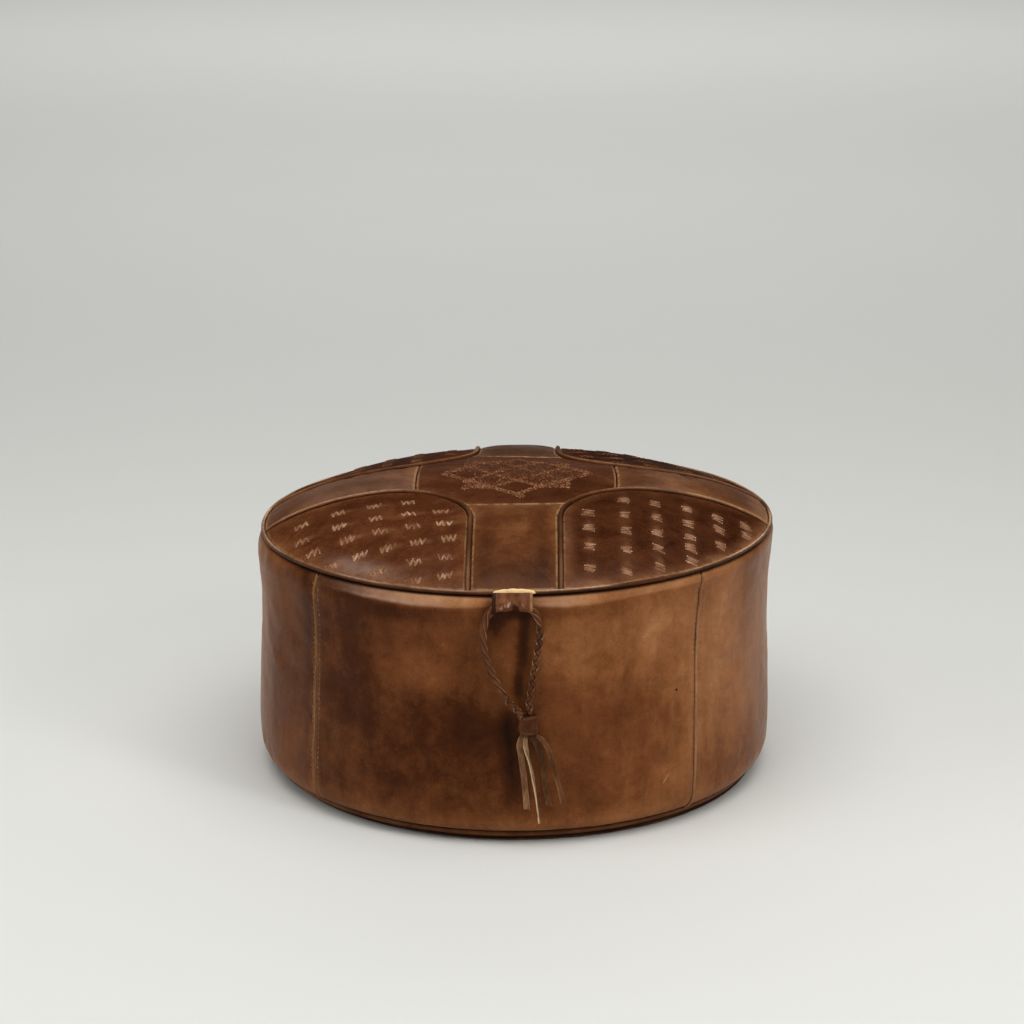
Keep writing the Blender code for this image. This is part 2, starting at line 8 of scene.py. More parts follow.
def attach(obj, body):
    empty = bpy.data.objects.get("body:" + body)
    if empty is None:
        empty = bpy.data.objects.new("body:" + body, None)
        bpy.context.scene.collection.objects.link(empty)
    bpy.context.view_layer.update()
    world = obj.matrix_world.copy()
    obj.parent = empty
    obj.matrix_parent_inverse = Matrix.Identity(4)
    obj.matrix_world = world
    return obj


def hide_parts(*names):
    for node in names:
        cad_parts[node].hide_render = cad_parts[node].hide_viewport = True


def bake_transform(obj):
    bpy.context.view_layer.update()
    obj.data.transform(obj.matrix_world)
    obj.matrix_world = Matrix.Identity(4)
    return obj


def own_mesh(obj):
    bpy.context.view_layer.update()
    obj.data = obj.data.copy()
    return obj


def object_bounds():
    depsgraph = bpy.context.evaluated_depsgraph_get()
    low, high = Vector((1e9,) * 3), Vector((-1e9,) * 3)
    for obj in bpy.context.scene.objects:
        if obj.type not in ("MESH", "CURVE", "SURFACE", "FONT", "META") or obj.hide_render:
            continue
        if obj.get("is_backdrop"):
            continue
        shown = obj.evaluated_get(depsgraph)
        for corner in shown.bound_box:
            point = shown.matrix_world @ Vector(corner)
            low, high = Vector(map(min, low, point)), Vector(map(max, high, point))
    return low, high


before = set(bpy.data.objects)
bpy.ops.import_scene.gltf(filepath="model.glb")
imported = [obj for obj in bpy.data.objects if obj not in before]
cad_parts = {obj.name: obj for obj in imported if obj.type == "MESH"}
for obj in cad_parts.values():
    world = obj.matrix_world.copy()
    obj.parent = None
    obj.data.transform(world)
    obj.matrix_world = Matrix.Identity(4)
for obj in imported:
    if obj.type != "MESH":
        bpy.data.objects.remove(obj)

CAD_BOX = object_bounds()
scene = bpy.context.scene
TAU = 2 * math.pi

# ------------------------------------------------------------------ sizes, in metres
R = 0.265
RIM_R, RIM_Z, RIM_PIPE = 0.985 * R, 0.2552, 0.0020
DOME_EDGE, DOME_BASE = 0.2590, 0.2562
SPOKE_HALF, PETAL_CORNER, CENTRE_HALF = 0.166 * R, 0.370 * R, 0.383 * R
CORNER_C = SPOKE_HALF + PETAL_CORNER
PETAL_PIPE = 0.0024
PANEL_T, WALL_T = 0.0018, 0.0022
SEAM_DEG, SEAM_PIPE = 42.6, 0.0016
SOLE_R, SOLE_T, SOLE_SLOT = 0.2482, 0.0054, 0.0072
BASE_R, BASE_Z, BASE_PIPE = 0.2505, 0.0086, 0.0028
ZIP_HALF, ZIP_PARK = 0.165, 0.136
BRAID_D, HANG_Y = 0.0078, -0.2701
TAB_HALF, TAB_T = 0.0173, 0.0016
HINGE_Y, HINGE_Z, HINGE_R = -0.2657, 0.2552, 0.0017
KNOT_X, KNOT_Y = 0.0133, -0.2706
KNOT_TOP, KNOT_BOTTOM = 0.1366, 0.1186
KNOT_W, KNOT_D = 0.0185, 0.0126
WALL_PROFILE = np.array([
    (0.0450, 0.9560), (0.0540, 0.9730), (0.0720, 0.9885), (0.1050, 0.9990), (0.1500, 1.0010),
    (0.2150, 1.0004), (0.3300, 0.9965), (0.4550, 0.9920), (0.5600, 0.9875), (0.6600, 0.9850),
    (0.7550, 0.9860), (0.8500, 0.9950), (0.8950, 0.9990), (0.9250, 0.9985), (0.9420, 0.9930), (0.9520, 0.9830)]) * R
NAMES = ("front_right", "rear_right", "rear_left", "front_left")
SIDES = ("front", "right", "rear", "left")


# ------------------------------------------------------------------ small tools
def smooth(t):
    t = np.clip(t, 0.0, 1.0)
    return t * t * (3 - 2 * t)


def _hash(i, j, k, seed):
    n = (i * 73856093) ^ (j * 19349663) ^ (k * 83492791) ^ (seed * 40503 + 977)
    n = (n ^ (n >> 13)) * 1274126177
    n = n & 0x7fffffff
    n = ((n ^ (n >> 15)) * 668265263) & 0x7fffffff
    return ((n ^ (n >> 13)) & 0xffff) / 65535.0


def vnoise(p, freq, seed):
    """Smooth value noise from -1 to 1 at points p (n, 3)."""
    q = np.asarray(p, float) * freq + 1000.37
    i = np.floor(q).astype(np.int64)
    f = q - i
    f = f * f * f * (f * (f * 6 - 15) + 10)
    out = 0.0
    for a in (0, 1):
        for b in (0, 1):
            for c in (0, 1):
                w = ((f[:, 0] if a else 1 - f[:, 0]) * (f[:, 1] if b else 1 - f[:, 1])
                     * (f[:, 2] if c else 1 - f[:, 2]))
                out = out + w * _hash(i[:, 0] + a, i[:, 1] + b, i[:, 2] + c, seed)
    return out * 2 - 1


def fbm(p, freq, seed, octaves=3):
    out, amp = 0.0, 1.0
    for o in range(octaves):
        out = out + amp * vnoise(p, freq * 2 ** o, seed + 31 * o)
        amp *= 0.5
    return out


def rot90(p, k):
    """Quarter turns about the upright axis."""
    p = np.array(p, float)
    for _ in range(k % 4):
        p[..., 0], p[..., 1] = -p[..., 1].copy(), p[..., 0].copy()
    return p


def pol(r, deg, z):
    a = np.radians(deg)
    return np.stack(np.broadcast_arrays(r * np.sin(a), -r * np.cos(a), z), -1)


def lean(v):
    """The filled cover stands a little higher on its right side."""
    v = np.array(v, float)
    z = v[..., 2].copy()
    v[..., 2] += 0.0165 * v[..., 0] * smooth((z - 0.02) / 0.22)
    v[..., 0] -= 0.0024 * smooth((0.2500 - z) / 0.02)
    return v


def hermite(xs, ys, x):
    xs, ys, x = np.asarray(xs, float), np.asarray(ys, float), np.asarray(x, float)
    d = np.diff(ys) / np.diff(xs)
    m = np.empty_like(ys)
    m[1:-1] = (d[:-1] * np.diff(xs)[1:] + d[1:] * np.diff(xs)[:-1]) / (xs[2:] - xs[:-2])
    m[0], m[-1] = d[0], d[-1]
    k = np.clip(np.searchsorted(xs, x) - 1, 0, len(xs) - 2)
    h = xs[k + 1] - xs[k]
    t = np.clip((x - xs[k]) / h, 0, 1)
    return ((2 * t ** 3 - 3 * t ** 2 + 1) * ys[k] + (t ** 3 - 2 * t ** 2 + t) * h * m[k]
            + (-2 * t ** 3 + 3 * t ** 2) * ys[k + 1] + (t ** 3 - t ** 2) * h * m[k + 1])


def wall_r(z):
    return hermite(WALL_PROFILE[:, 0], WALL_PROFILE[:, 1], z)


def even(points, step=None, count=None):
    """Points spaced evenly along a polyline, both ends kept."""
    p = np.asarray(points, float)
    s = np.r_[0, np.cumsum(np.linalg.norm(np.diff(p, axis=0), axis=1))]
    n = count if count else max(2, int(round(s[-1] / step)) + 1)
    t = np.linspace(0, s[-1], n)
    return np.stack([np.interp(t, s, p[:, i]) for i in range(p.shape[1])], 1)


def catmull(points, per_span):
    """Centripetal curve through points."""
    p = np.asarray(points, float)
    p = np.vstack([2 * p[0] - p[1], p, 2 * p[-1] - p[-2]])
    out = []
    for i in range(1, len(p) - 2):
        k = [0.0]
        for a, b in ((i - 1, i), (i, i + 1), (i + 1, i + 2)):
            k.append(k[-1] + max(1e-9, np.linalg.norm(p[b] - p[a]) ** 0.5))
        for j in range(per_span):
            t = k[1] + (k[2] - k[1]) * j / per_span
            a1 = (k[1] - t) / (k[1] - k[0]) * p[i - 1] + (t - k[0]) / (k[1] - k[0]) * p[i]
            a2 = (k[2] - t) / (k[2] - k[1]) * p[i] + (t - k[1]) / (k[2] - k[1]) * p[i + 1]
            a3 = (k[3] - t) / (k[3] - k[2]) * p[i + 1] + (t - k[2]) / (k[3] - k[2]) * p[i + 2]
            b1 = (k[2] - t) / (k[2] - k[0]) * a1 + (t - k[0]) / (k[2] - k[0]) * a2
            b2 = (k[3] - t) / (k[3] - k[1]) * a2 + (t - k[1]) / (k[3] - k[1]) * a3
            out.append((k[2] - t) / (k[2] - k[1]) * b1 + (t - k[1]) / (k[2] - k[1]) * b2)
    out.append(p[-2])
    return np.array(out)


def unit(v):
    return v / np.maximum(1e-12, np.linalg.norm(v, axis=-1, keepdims=True))


def frames(path, first, closed=False):
    """Tangent, normal and side of a path, with as little twist as can be."""
    p = np.asarray(path, float)
    if closed:
        t = unit(np.roll(p, -1, 0) - np.roll(p, 1, 0))
    else:
        t = unit(np.gradient(p, axis=0))
    n = np.empty_like(p)
    v = np.asarray(first, float)
    for i in range(len(p)):
        v = v - t[i] * (v @ t[i])
        v = v / np.linalg.norm(v)
        n[i] = v
    return t, n, np.cross(t, n)


def quads(nu, nv, wrap_u=False, wrap_v=False, base=0, flip=False):
    u = np.arange(nu if wrap_u else nu - 1)
    v = np.arange(nv if wrap_v else nv - 1)
    a, b = np.meshgrid(u, v, indexing="ij")
    a2, b2 = (a + 1) % nu, (b + 1) % nv
    f = np.stack([a * nv + b, a2 * nv + b, a2 * nv + b2, a * nv + b2], -1).reshape(-1, 4) + base
    return f[:, ::-1] if flip else f


def make(name, verts, faces, mats, attrs=None, face_mat=None, sharp=False):
    """A mesh object; faces is a list of arrays or of tuples."""
    flat = []
    for f in faces:
        flat += f.tolist() if isinstance(f, np.ndarray) else [tuple(f)]
    me = bpy.data.meshes.new(name)
    me.from_pydata(np.asarray(verts, float).reshape(-1, 3).tolist(), [], flat)
    me.validate()
    for k, val in (attrs or {}).items():
        a = me.attributes.new(k, "FLOAT", "POINT")
        a.data.foreach_set("value", np.asarray(val, np.float32).ravel())
    for m in mats if isinstance(mats, (list, tuple)) else [mats]:
        me.materials.append(m)
    if face_mat is not None:
        me.polygons.foreach_set("material_index", np.asarray(face_mat, np.int32))
    me.polygons.foreach_set("use_smooth", np.full(len(me.polygons), not sharp))
    me.update()
    ob = bpy.data.objects.new(name, me)
    scene.collection.objects.link(ob)
    return ob


def tube(path, radius, sides, first, closed=False, squash=1.0, turn=0.0):
    """Verts (n, sides, 3) and faces of a swept round; radius may vary along it."""
    t, n, b = frames(path, first, closed)
    a = np.arange(sides) / sides * TAU + turn
    r = np.broadcast_to(np.asarray(radius, float), (len(path),))[:, None, None]
    v = (np.asarray(path)[:, None, :] + r * (np.cos(a)[None, :, None] * n[:, None, :] * squash
                                               + np.sin(a)[None, :, None] * b[:, None, :]))
    f = [quads(len(path), sides, closed, True)]
    if not closed:
        f += [tuple(range(sides))[::-1], tuple((len(path) - 1) * sides + i for i in range(sides))]
    return v, f


def outward(ob):
    """Turns every face of a closed piece outwards."""
    import bmesh
    bm = bmesh.new()
    bm.from_mesh(ob.data)
    bmesh.ops.recalc_face_normals(bm, faces=bm.faces[:])
    bm.to_mesh(ob.data)
    bm.free()
    return ob


# ------------------------------------------------------------------ finishes
class Tree:
    """A node finish, built a socket at a time."""

    def __init__(self, name, **const):
        self.mat = bpy.data.materials.new(name)
        self.mat.use_nodes = True
        self.t = self.mat.node_tree
        self.t.nodes.clear()
        out = self.t.nodes.new("ShaderNodeOutputMaterial")
        self.bsdf = self.t.nodes.new("ShaderNodeBsdfPrincipled")
        self.t.links.new(self.bsdf.outputs[0], out.inputs[0])
        self.co = self.t.nodes.new("ShaderNodeTexCoord").outputs["Object"]
        for k, v in const.items():
            self.bsdf.inputs[k.replace("_", " ")].default_value = v

    def put(self, sock, v):
        if isinstance(v, bpy.types.NodeSocket):
            self.t.links.new(v, sock)
        elif v is not None:
            if isinstance(v, (tuple, list)) and len(v) == 3 and sock.type == "RGBA":
                v = (*v, 1.0)
            sock.default_value = v

    def math(self, op, a, b=None, c=None, clamp=False):
        n = self.t.nodes.new("ShaderNodeMath")
        n.operation, n.use_clamp = op, clamp
        for s, v in zip(n.inputs, (a, b, c)):
            self.put(s, v)
        return n.outputs[0]

    def add(self, *xs):
        out = xs[0]
        for x in xs[1:]:
            out = self.math("ADD", out, x)
        return out

    def mul(self, a, b):
        return self.math("MULTIPLY", a, b)

    def step(self, x, lo, hi, a=0.0, b=1.0):
        n = self.t.nodes.new("ShaderNodeMapRange")
        n.interpolation_type = "SMOOTHSTEP"
        for s, v in zip(n.inputs, (x, lo, hi, a, b)):
            self.put(s, v)
        return n.outputs[0]

    def stretch(self, sx, sy, sz, vec=None):
        n = self.t.nodes.new("ShaderNodeVectorMath")
        n.operation = "MULTIPLY"
        self.put(n.inputs[0], vec or self.co)
        n.inputs[1].default_value = (sx, sy, sz)
        return n.outputs[0]

    def shift(self, x, y, z, vec=None):
        n = self.t.nodes.new("ShaderNodeVectorMath")
        n.operation = "ADD"
        self.put(n.inputs[0], vec or self.co)
        n.inputs[1].default_value = (x, y, z)
        return n.outputs[0]

    def noise(self, scale, detail=2.0, rough=0.5, distort=0.0, vec=None):
        n = self.t.nodes.new("ShaderNodeTexNoise")
        self.put(n.inputs["Vector"], vec or self.co)
        n.inputs["Scale"].default_value = scale
        n.inputs["Detail"].default_value = detail
        n.inputs["Roughness"].default_value = rough
        n.inputs["Distortion"].default_value = distort
        return n.outputs[0]

    def cells(self, scale, feature="F1", vec=None, rand=1.0):
        n = self.t.nodes.new("ShaderNodeTexVoronoi")
        n.feature = feature
        self.put(n.inputs["Vector"], vec or self.co)
        n.inputs["Scale"].default_value = scale
        n.inputs["Randomness"].default_value = rand
        return n.outputs["Distance"]

    def wave(self, scale, vec=None, axis="X", distort=0.0):
        n = self.t.nodes.new("ShaderNodeTexWave")
        n.bands_direction = axis
        self.put(n.inputs["Vector"], vec or self.co)
        n.inputs["Scale"].default_value = scale
        n.inputs["Distortion"].default_value = distort
        return n.outputs["Fac"]

    def attr(self, name):
        n = self.t.nodes.new("ShaderNodeAttribute")
        n.attribute_name = name
        return n.outputs["Fac"]

    def ramp(self, fac, stops):
        n = self.t.nodes.new("ShaderNodeValToRGB")
        self.put(n.inputs[0], fac)
        e = n.color_ramp.elements
        while len(e) < len(stops):
            e.new(0.5)
        for el, (pos, col) in zip(e, stops):
            el.position = pos
            el.color = (*col, 1.0)
        return n.outputs[0]

    def mix(self, fac, a, b, blend="MIX"):
        n = self.t.nodes.new("ShaderNodeMix")
        n.data_type, n.blend_type = "RGBA", blend
        self.put(n.inputs[0], fac)
        self.put(n.inputs[6], a)
        self.put(n.inputs[7], b)
        return n.outputs[2]

    def bump(self, height, strength, dist, normal=None):
        n = self.t.nodes.new("ShaderNodeBump")
        n.inputs["Strength"].default_value = strength
        n.inputs["Distance"].default_value = dist
        self.put(n.inputs["Height"], height)
        if normal is not None:
            self.put(n.inputs["Normal"], normal)
        return n.outputs[0]

    def set(self, **socks):
        for k, v in socks.items():
            self.put(self.bsdf.inputs[k.replace("_", " ")], v)
        return self.mat


BROWN = [(0.00, (0.012, 0.0040, 0.0017)), (0.25, (0.040, 0.0118, 0.0040)), (0.50, (0.106, 0.0335, 0.0100)),
         (0.72, (0.200, 0.0760, 0.0255)), (0.88, (0.310, 0.1420, 0.0590)), (1.00, (0.430, 0.2450, 0.1300))]
RED_BROWN = [(0.00, (0.010, 0.0032, 0.0016)), (0.25, (0.032, 0.0085, 0.0031)), (0.50, (0.086, 0.0242, 0.0078)),
             (0.72, (0.172, 0.0590, 0.0200)), (0.88, (0.295, 0.1270, 0.0520)), (1.00, (0.430, 0.2400, 0.1250))]
WALL_BROWN = [(0.00, (0.016, 0.0042, 0.0012)), (0.25, (0.063, 0.0164, 0.0037)), (0.50, (0.178, 0.0575, 0.0165)),
              (0.72, (0.335, 0.130, 0.0450)), (0.88, (0.480, 0.225, 0.0920)), (1.00, (0.590, 0.345, 0.1850))]


def leather(name, stops=BROWN, tone=0.5, patch=0.16, mottle=0.13, streak=0.0, speck=0.05, border=0.0,
            worn=0.55, rough=(0.34, 0.55), grain=1.0, spread=7.0, at=(0, 0, 0), painted_shade=0.9, extra=None, shine=0.09, sheen=0.0, worn_and_lit=(0.330, 0.160, 0.070)):
    """Aged waxed leather: tone patches, mottling, pale worn marks partly painted as highlights, a painted sheen,
    painted shade along the seams, pores and creases.
    """
    t = Tree(name, Specular_IOR_Level=shine, Sheen_Weight=sheen, Sheen_Roughness=0.26, Sheen_Tint=(1.0, 0.70, 0.48, 1.0))
    co = t.shift(*at)
    n1 = t.noise(spread, 2.5, 0.5, 0.6, co)
    n2 = t.noise(34.0, 4.0, 0.62, 0.4, co)
    n4 = t.noise(620.0, 1.0, 0.5, 0.0, co)
    n5 = t.noise(125.0, 3.0, 0.62, 0.3, co)
    c = lambda n, k: t.mul(t.math("SUBTRACT", n, 0.5), 2.4 * k)
    f = t.add(c(n1, patch), c(n2, mottle), c(n5, mottle * 0.45), c(n4, speck), t.attr("pat"), tone)
    if streak:
        n3 = t.noise(16.0, 4.0, 0.6, 0.2, t.stretch(3.0, 3.0, 0.42, co))
        f = t.add(f, c(n3, streak))
    e = t.attr("edge")
    breakup = t.noise(150.0, 3.0, 0.6, 0.0, co)
    if border:
        f = t.add(f, t.mul(t.step(t.add(e, t.mul(t.math("SUBTRACT", n2, 0.5), 12.0)), 1.0, 17.0, 1.0, 0.0), border))
    colour = t.ramp(f, stops)
    line = t.mul(t.step(e, 0.35, 1.0), t.step(e, 1.5, 3.4, 1.0, 0.0))
    line = t.mul(line, t.step(breakup, 0.34, 0.62, 0.25, 1.0))
    colour = t.mix(t.mul(line, worn), colour, (0.420, 0.225, 0.105))
    # pale marks in the pale colour: partly wear, partly painted highlights
    wear_and_highlight = t.attr("wear_and_highlight")
    colour = t.mix(t.mul(wear_and_highlight, t.step(breakup, 0.30, 0.68, 0.55, 1.0)), colour, worn_and_lit)
    # painted sheen: a pale grey reflection mixed in where the attribute asks
    colour = t.mix(t.mul(t.attr("painted_sheen"), t.step(breakup, 0.26, 0.70, 0.6, 1.0)), colour, (0.40, 0.275, 0.215))
    # painted shade: darker within 0.75 mm of a seam edge, and wherever the attribute asks
    dark = t.mul(t.step(e, 0.0, 0.75, 1.0, 0.0), painted_shade)
    dark = t.math("MAXIMUM", dark, t.attr("painted_shade"))
    colour = t.mix(dark, colour, (0.010, 0.004, 0.0022))
    if extra:
        colour = extra(t, colour)
    # pores, crease lines and a soft hammered unevenness
    pores = t.cells(760.0, "SMOOTH_F1", co)
    lines = t.step(t.cells(300.0, "DISTANCE_TO_EDGE", t.stretch(1.0, 1.0, 0.7, co)), 0.0, 0.16)
    fine = t.noise(1900.0, 2.0, 0.6, 0.0, co)
    folds = t.noise(70.0, 3.0, 0.55, 1.2, co)
    h = t.add(t.mul(pores, -0.35), t.mul(lines, 0.30), t.mul(fine, 0.28), t.mul(folds, 0.55))
    gloss = t.step(t.add(n2, t.mul(t.math("SUBTRACT", n4, 0.5), 0.5)), 0.30, 0.70, rough[0], rough[1])
    gloss = t.add(gloss, t.mul(line, 0.10), t.mul(dark, 0.22), t.mul(wear_and_highlight, 0.08))
    return t.set(Base_Color=colour, Roughness=gloss, Normal=t.bump(h, 0.55 * grain, 0.00042))


def raw_leather(name, stops, at=(0, 0, 0), rough=0.78):
    """Flesh side or cut edge: short fibres, no finish."""
    t = Tree(name, Specular_IOR_Level=0.10)
    co = t.shift(*at)
    fib = t.noise(420.0, 4.0, 0.65, 0.8, t.stretch(1.0, 1.0, 0.25, co))
    big = t.noise(60.0, 3.0, 0.6, 0.3, co)
    f = t.add(t.mul(t.math("SUBTRACT", fib, 0.5), 1.1), t.mul(t.math("SUBTRACT", big, 0.5), 0.9), 0.5, t.attr("pat"))
    colour = t.ramp(f, stops)
    colour = t.mix(t.attr("painted_shade"), colour, (0.030, 0.012, 0.006))
    return t.set(Base_Color=colour, Roughness=t.step(fib, 0.3, 0.7, rough - 0.1, rough + 0.12),
                 Normal=t.bump(t.add(fib, t.mul(big, 0.5)), 0.7, 0.00035))


def thread(name, stops):
    """Waxed spun thread, flattened and worn."""
    t = Tree(name, Specular_IOR_Level=0.16, Sheen_Weight=0.06, Sheen_Roughness=0.5, Sheen_Tint=(1.0, 0.72, 0.5, 1.0))
    ply = t.wave(520.0, None, "DIAGONAL", 1.5)
    big = t.noise(85.0, 3.0, 0.6, 0.3)
    fine = t.noise(900.0, 2.0, 0.6)
    f = t.add(t.mul(t.math("SUBTRACT", big, 0.5), 1.0), t.mul(t.math("SUBTRACT", fine, 0.5), 0.6), 0.5, t.attr("pat"))
    return t.set(Base_Color=t.ramp(f, stops), Roughness=t.step(fine, 0.3, 0.7, 0.55, 0.8),
                 Normal=t.bump(t.add(ply, fine), 0.5, 0.00025))


def scratch_and_spot(t, colour):
    """One short pale scratch and one small dark mark low on the front wall."""
    def near(x, y, z, sx, sy, sz, tilt):
        n = t.t.nodes.new("ShaderNodeMapping")
        n.vector_type = "TEXTURE"
        t.put(n.inputs["Vector"], t.co)
        n.inputs["Location"].default_value = (x, y, z)
        n.inputs["Rotation"].default_value = (0, tilt, 0)
        n.inputs["Scale"].default_value = (sx, sy, sz)
        m = t.t.nodes.new("ShaderNodeVectorMath")
        m.operation = "LENGTH"
        t.put(m.inputs[0], n.outputs[0])
        return t.step(m.outputs["Value"], 0.55, 1.0, 1.0, 0.0)
    wob = t.noise(260.0, 2.0, 0.6)
    pale = t.mul(near(0.1475, -0.2195, 0.0540, 0.0012, 0.03, 0.0075, 0.62), t.step(wob, 0.3, 0.6, 0.3, 0.75))
    colour = t.mix(pale, colour, (0.40, 0.21, 0.10))
    return t.mix(near(0.1565, -0.2130, 0.1410, 0.0014, 0.03, 0.0015, 0.0), colour, (0.008, 0.004, 0.003))


M = {}
M["wall"] = leather("leather_wall", WALL_BROWN, 0.485, 0.14, 0.16, 0.09, 0.06, 0.03, 0.45, (0.28, 0.46), 0.9, 6.5, (0.3, 0.1, 0.7), painted_shade=0.5, extra=scratch_and_spot, shine=0.055, sheen=0.26,
                    worn_and_lit=(0.430, 0.270, 0.180))
M["strip"] = leather("leather_top", BROWN, 0.47, 0.18, 0.19, 0.0, 0.08, 0.13, 0.74, (0.30, 0.48), 1.1, 9.0, (1.3, 0.4, 0.2), painted_shade=0.45, sheen=0.08)
M["centre"] = leather("leather_centre", RED_BROWN, 0.45, 0.14, 0.18, 0.0, 0.06, 0.05, 0.70, (0.38, 0.56), 1.0, 10.0, (2.1, 1.4, 0.6), painted_shade=0.6)
M["petal"] = leather("leather_petal", RED_BROWN, 0.49, 0.16, 0.20, 0.0, 0.09, 0.12, 0.54, (0.20, 0.38), 1.1, 9.0, (0.9, 2.2, 0.1), painted_shade=0.45, shine=0.10, worn_and_lit=(0.360, 0.172, 0.080))
M["petal_rear"] = leather("leather_petal_rear", RED_BROWN, 0.47, 0.15, 0.20, 0.0, 0.06, 0.10, 0.42, (0.48, 0.66), 0.8, 9.0, (0.9, 2.2, 0.1), painted_shade=0.7, shine=0.05)
M["pipe"] = leather("leather_piping", BROWN, 0.58, 0.14, 0.18, 0.0, 0.06, 0.0, 0.0, (0.30, 0.50), 0.8, 22.0, (0.2, 0.9, 1.7), painted_shade=0.0, worn_and_lit=(0.40, 0.215, 0.105))
M["rim"] = leather("leather_rim", BROWN, 0.44, 0.14, 0.18, 0.0, 0.06, 0.0, 0.0, (0.28, 0.46), 0.8, 22.0, (0.2, 0.9, 1.7), painted_shade=0.0, worn_and_lit=(0.62, 0.39, 0.235))
# the sole is very dark: partly its own dark leather, partly painted shade for the shade under the base
M["sole"] = leather("leather_sole", BROWN, 0.17, 0.08, 0.16, 0.0, 0.08, 0.06, 0.35, (0.55, 0.80), 1.5, 9.0, (3.1, 0.3, 0.9))
M["braid"] = leather("leather_braid", RED_BROWN, 0.55, 0.10, 0.18, 0.0, 0.08, 0.0, 0.0, (0.40, 0.58), 0.8, 40.0, (1.9, 0.2, 2.3), painted_shade=0.0, worn_and_lit=(0.46, 0.31, 0.20))
M["knot"] = leather("leather_knot", RED_BROWN, 0.44, 0.12, 0.18, 0.0, 0.08, 0.0, 0.12, (0.36, 0.56), 0.9, 45.0, (0.6, 1.2, 1.1), painted_shade=0.2)
M["raw"] = raw_leather("leather_raw", [(0.0, (0.170, 0.076, 0.030)), (0.45, (0.430, 0.226, 0.094)), (0.75, (0.690, 0.430, 0.200)), (1.0, (0.83, 0.57, 0.29))])
M["tan"] = raw_leather("leather_strip_tan", [(0.0, (0.058, 0.023, 0.010)), (0.45, (0.160, 0.070, 0.031)), (0.8, (0.280, 0.142, 0.072)), (1.0, (0.42, 0.25, 0.14))], (0.7, 0.2, 0.4))
M["cream"] = raw_leather("leather_strip_cream", [(0.0, (0.080, 0.036, 0.014)), (0.45, (0.260, 0.140, 0.066)), (0.8, (0.480, 0.320, 0.180)), (1.0, (0.62, 0.46, 0.29))], (0.4, 0.9, 0.2))
M["dark"] = raw_leather("leather_strip_dark", [(0.0, (0.022, 0.008, 0.0035)), (0.45, (0.086, 0.033, 0.013)), (0.8, (0.160, 0.066, 0.026)), (1.0, (0.30, 0.13, 0.055))], (0.1, 0.6, 0.8), 0.66)
M["thread"] = thread("thread_tan", [(0.0, (0.095, 0.035, 0.014)), (0.45, (0.245, 0.106, 0.050)), (0.8, (0.390, 0.200, 0.112)), (1.0, (0.58, 0.38, 0.26))])
M["star_thread"] = thread("thread_star", [(0.0, (0.046, 0.014, 0.0050)), (0.45, (0.132, 0.045, 0.0165)), (0.8, (0.232, 0.088, 0.034)), (1.0, (0.37, 0.170, 0.078))])
M["seam_thread"] = thread("thread_seam", [(0.0, (0.090, 0.034, 0.013)), (0.5, (0.230, 0.105, 0.044)), (1.0, (0.46, 0.27, 0.14))])


# ------------------------------------------------------------------ camera
cam = bpy.data.cameras.new("camera")
cam.lens, cam.sensor_width = 90.66, 36.0
cam.clip_end = 60
cam_ob = bpy.data.objects.new("camera", cam)
cam_ob.location = (0.01997, -2.5633, 0.98652)
cam_ob.rotation_euler = (math.radians(74.18), 0, math.radians(0.55))
scene.collection.objects.link(cam_ob)
scene.camera = cam_ob


# ------------------------------------------------------------------ floor and light
def area(name, at, aim, size, power, tint=(1, 1, 1), spread=180):
    li = bpy.data.lights.new(name, "AREA")
    li.shape = "RECTANGLE"
    li.size, li.size_y = size
    li.energy, li.color = power, tint
    li.spread = math.radians(spread)
    ob = bpy.data.objects.new(name, li)
    ob.location = at
    ob.rotation_euler = (Vector(aim) - Vector(at)).to_track_quat("-Z", "Y").to_euler()
    ob.visible_camera = False
    scene.collection.objects.link(ob)
    return ob


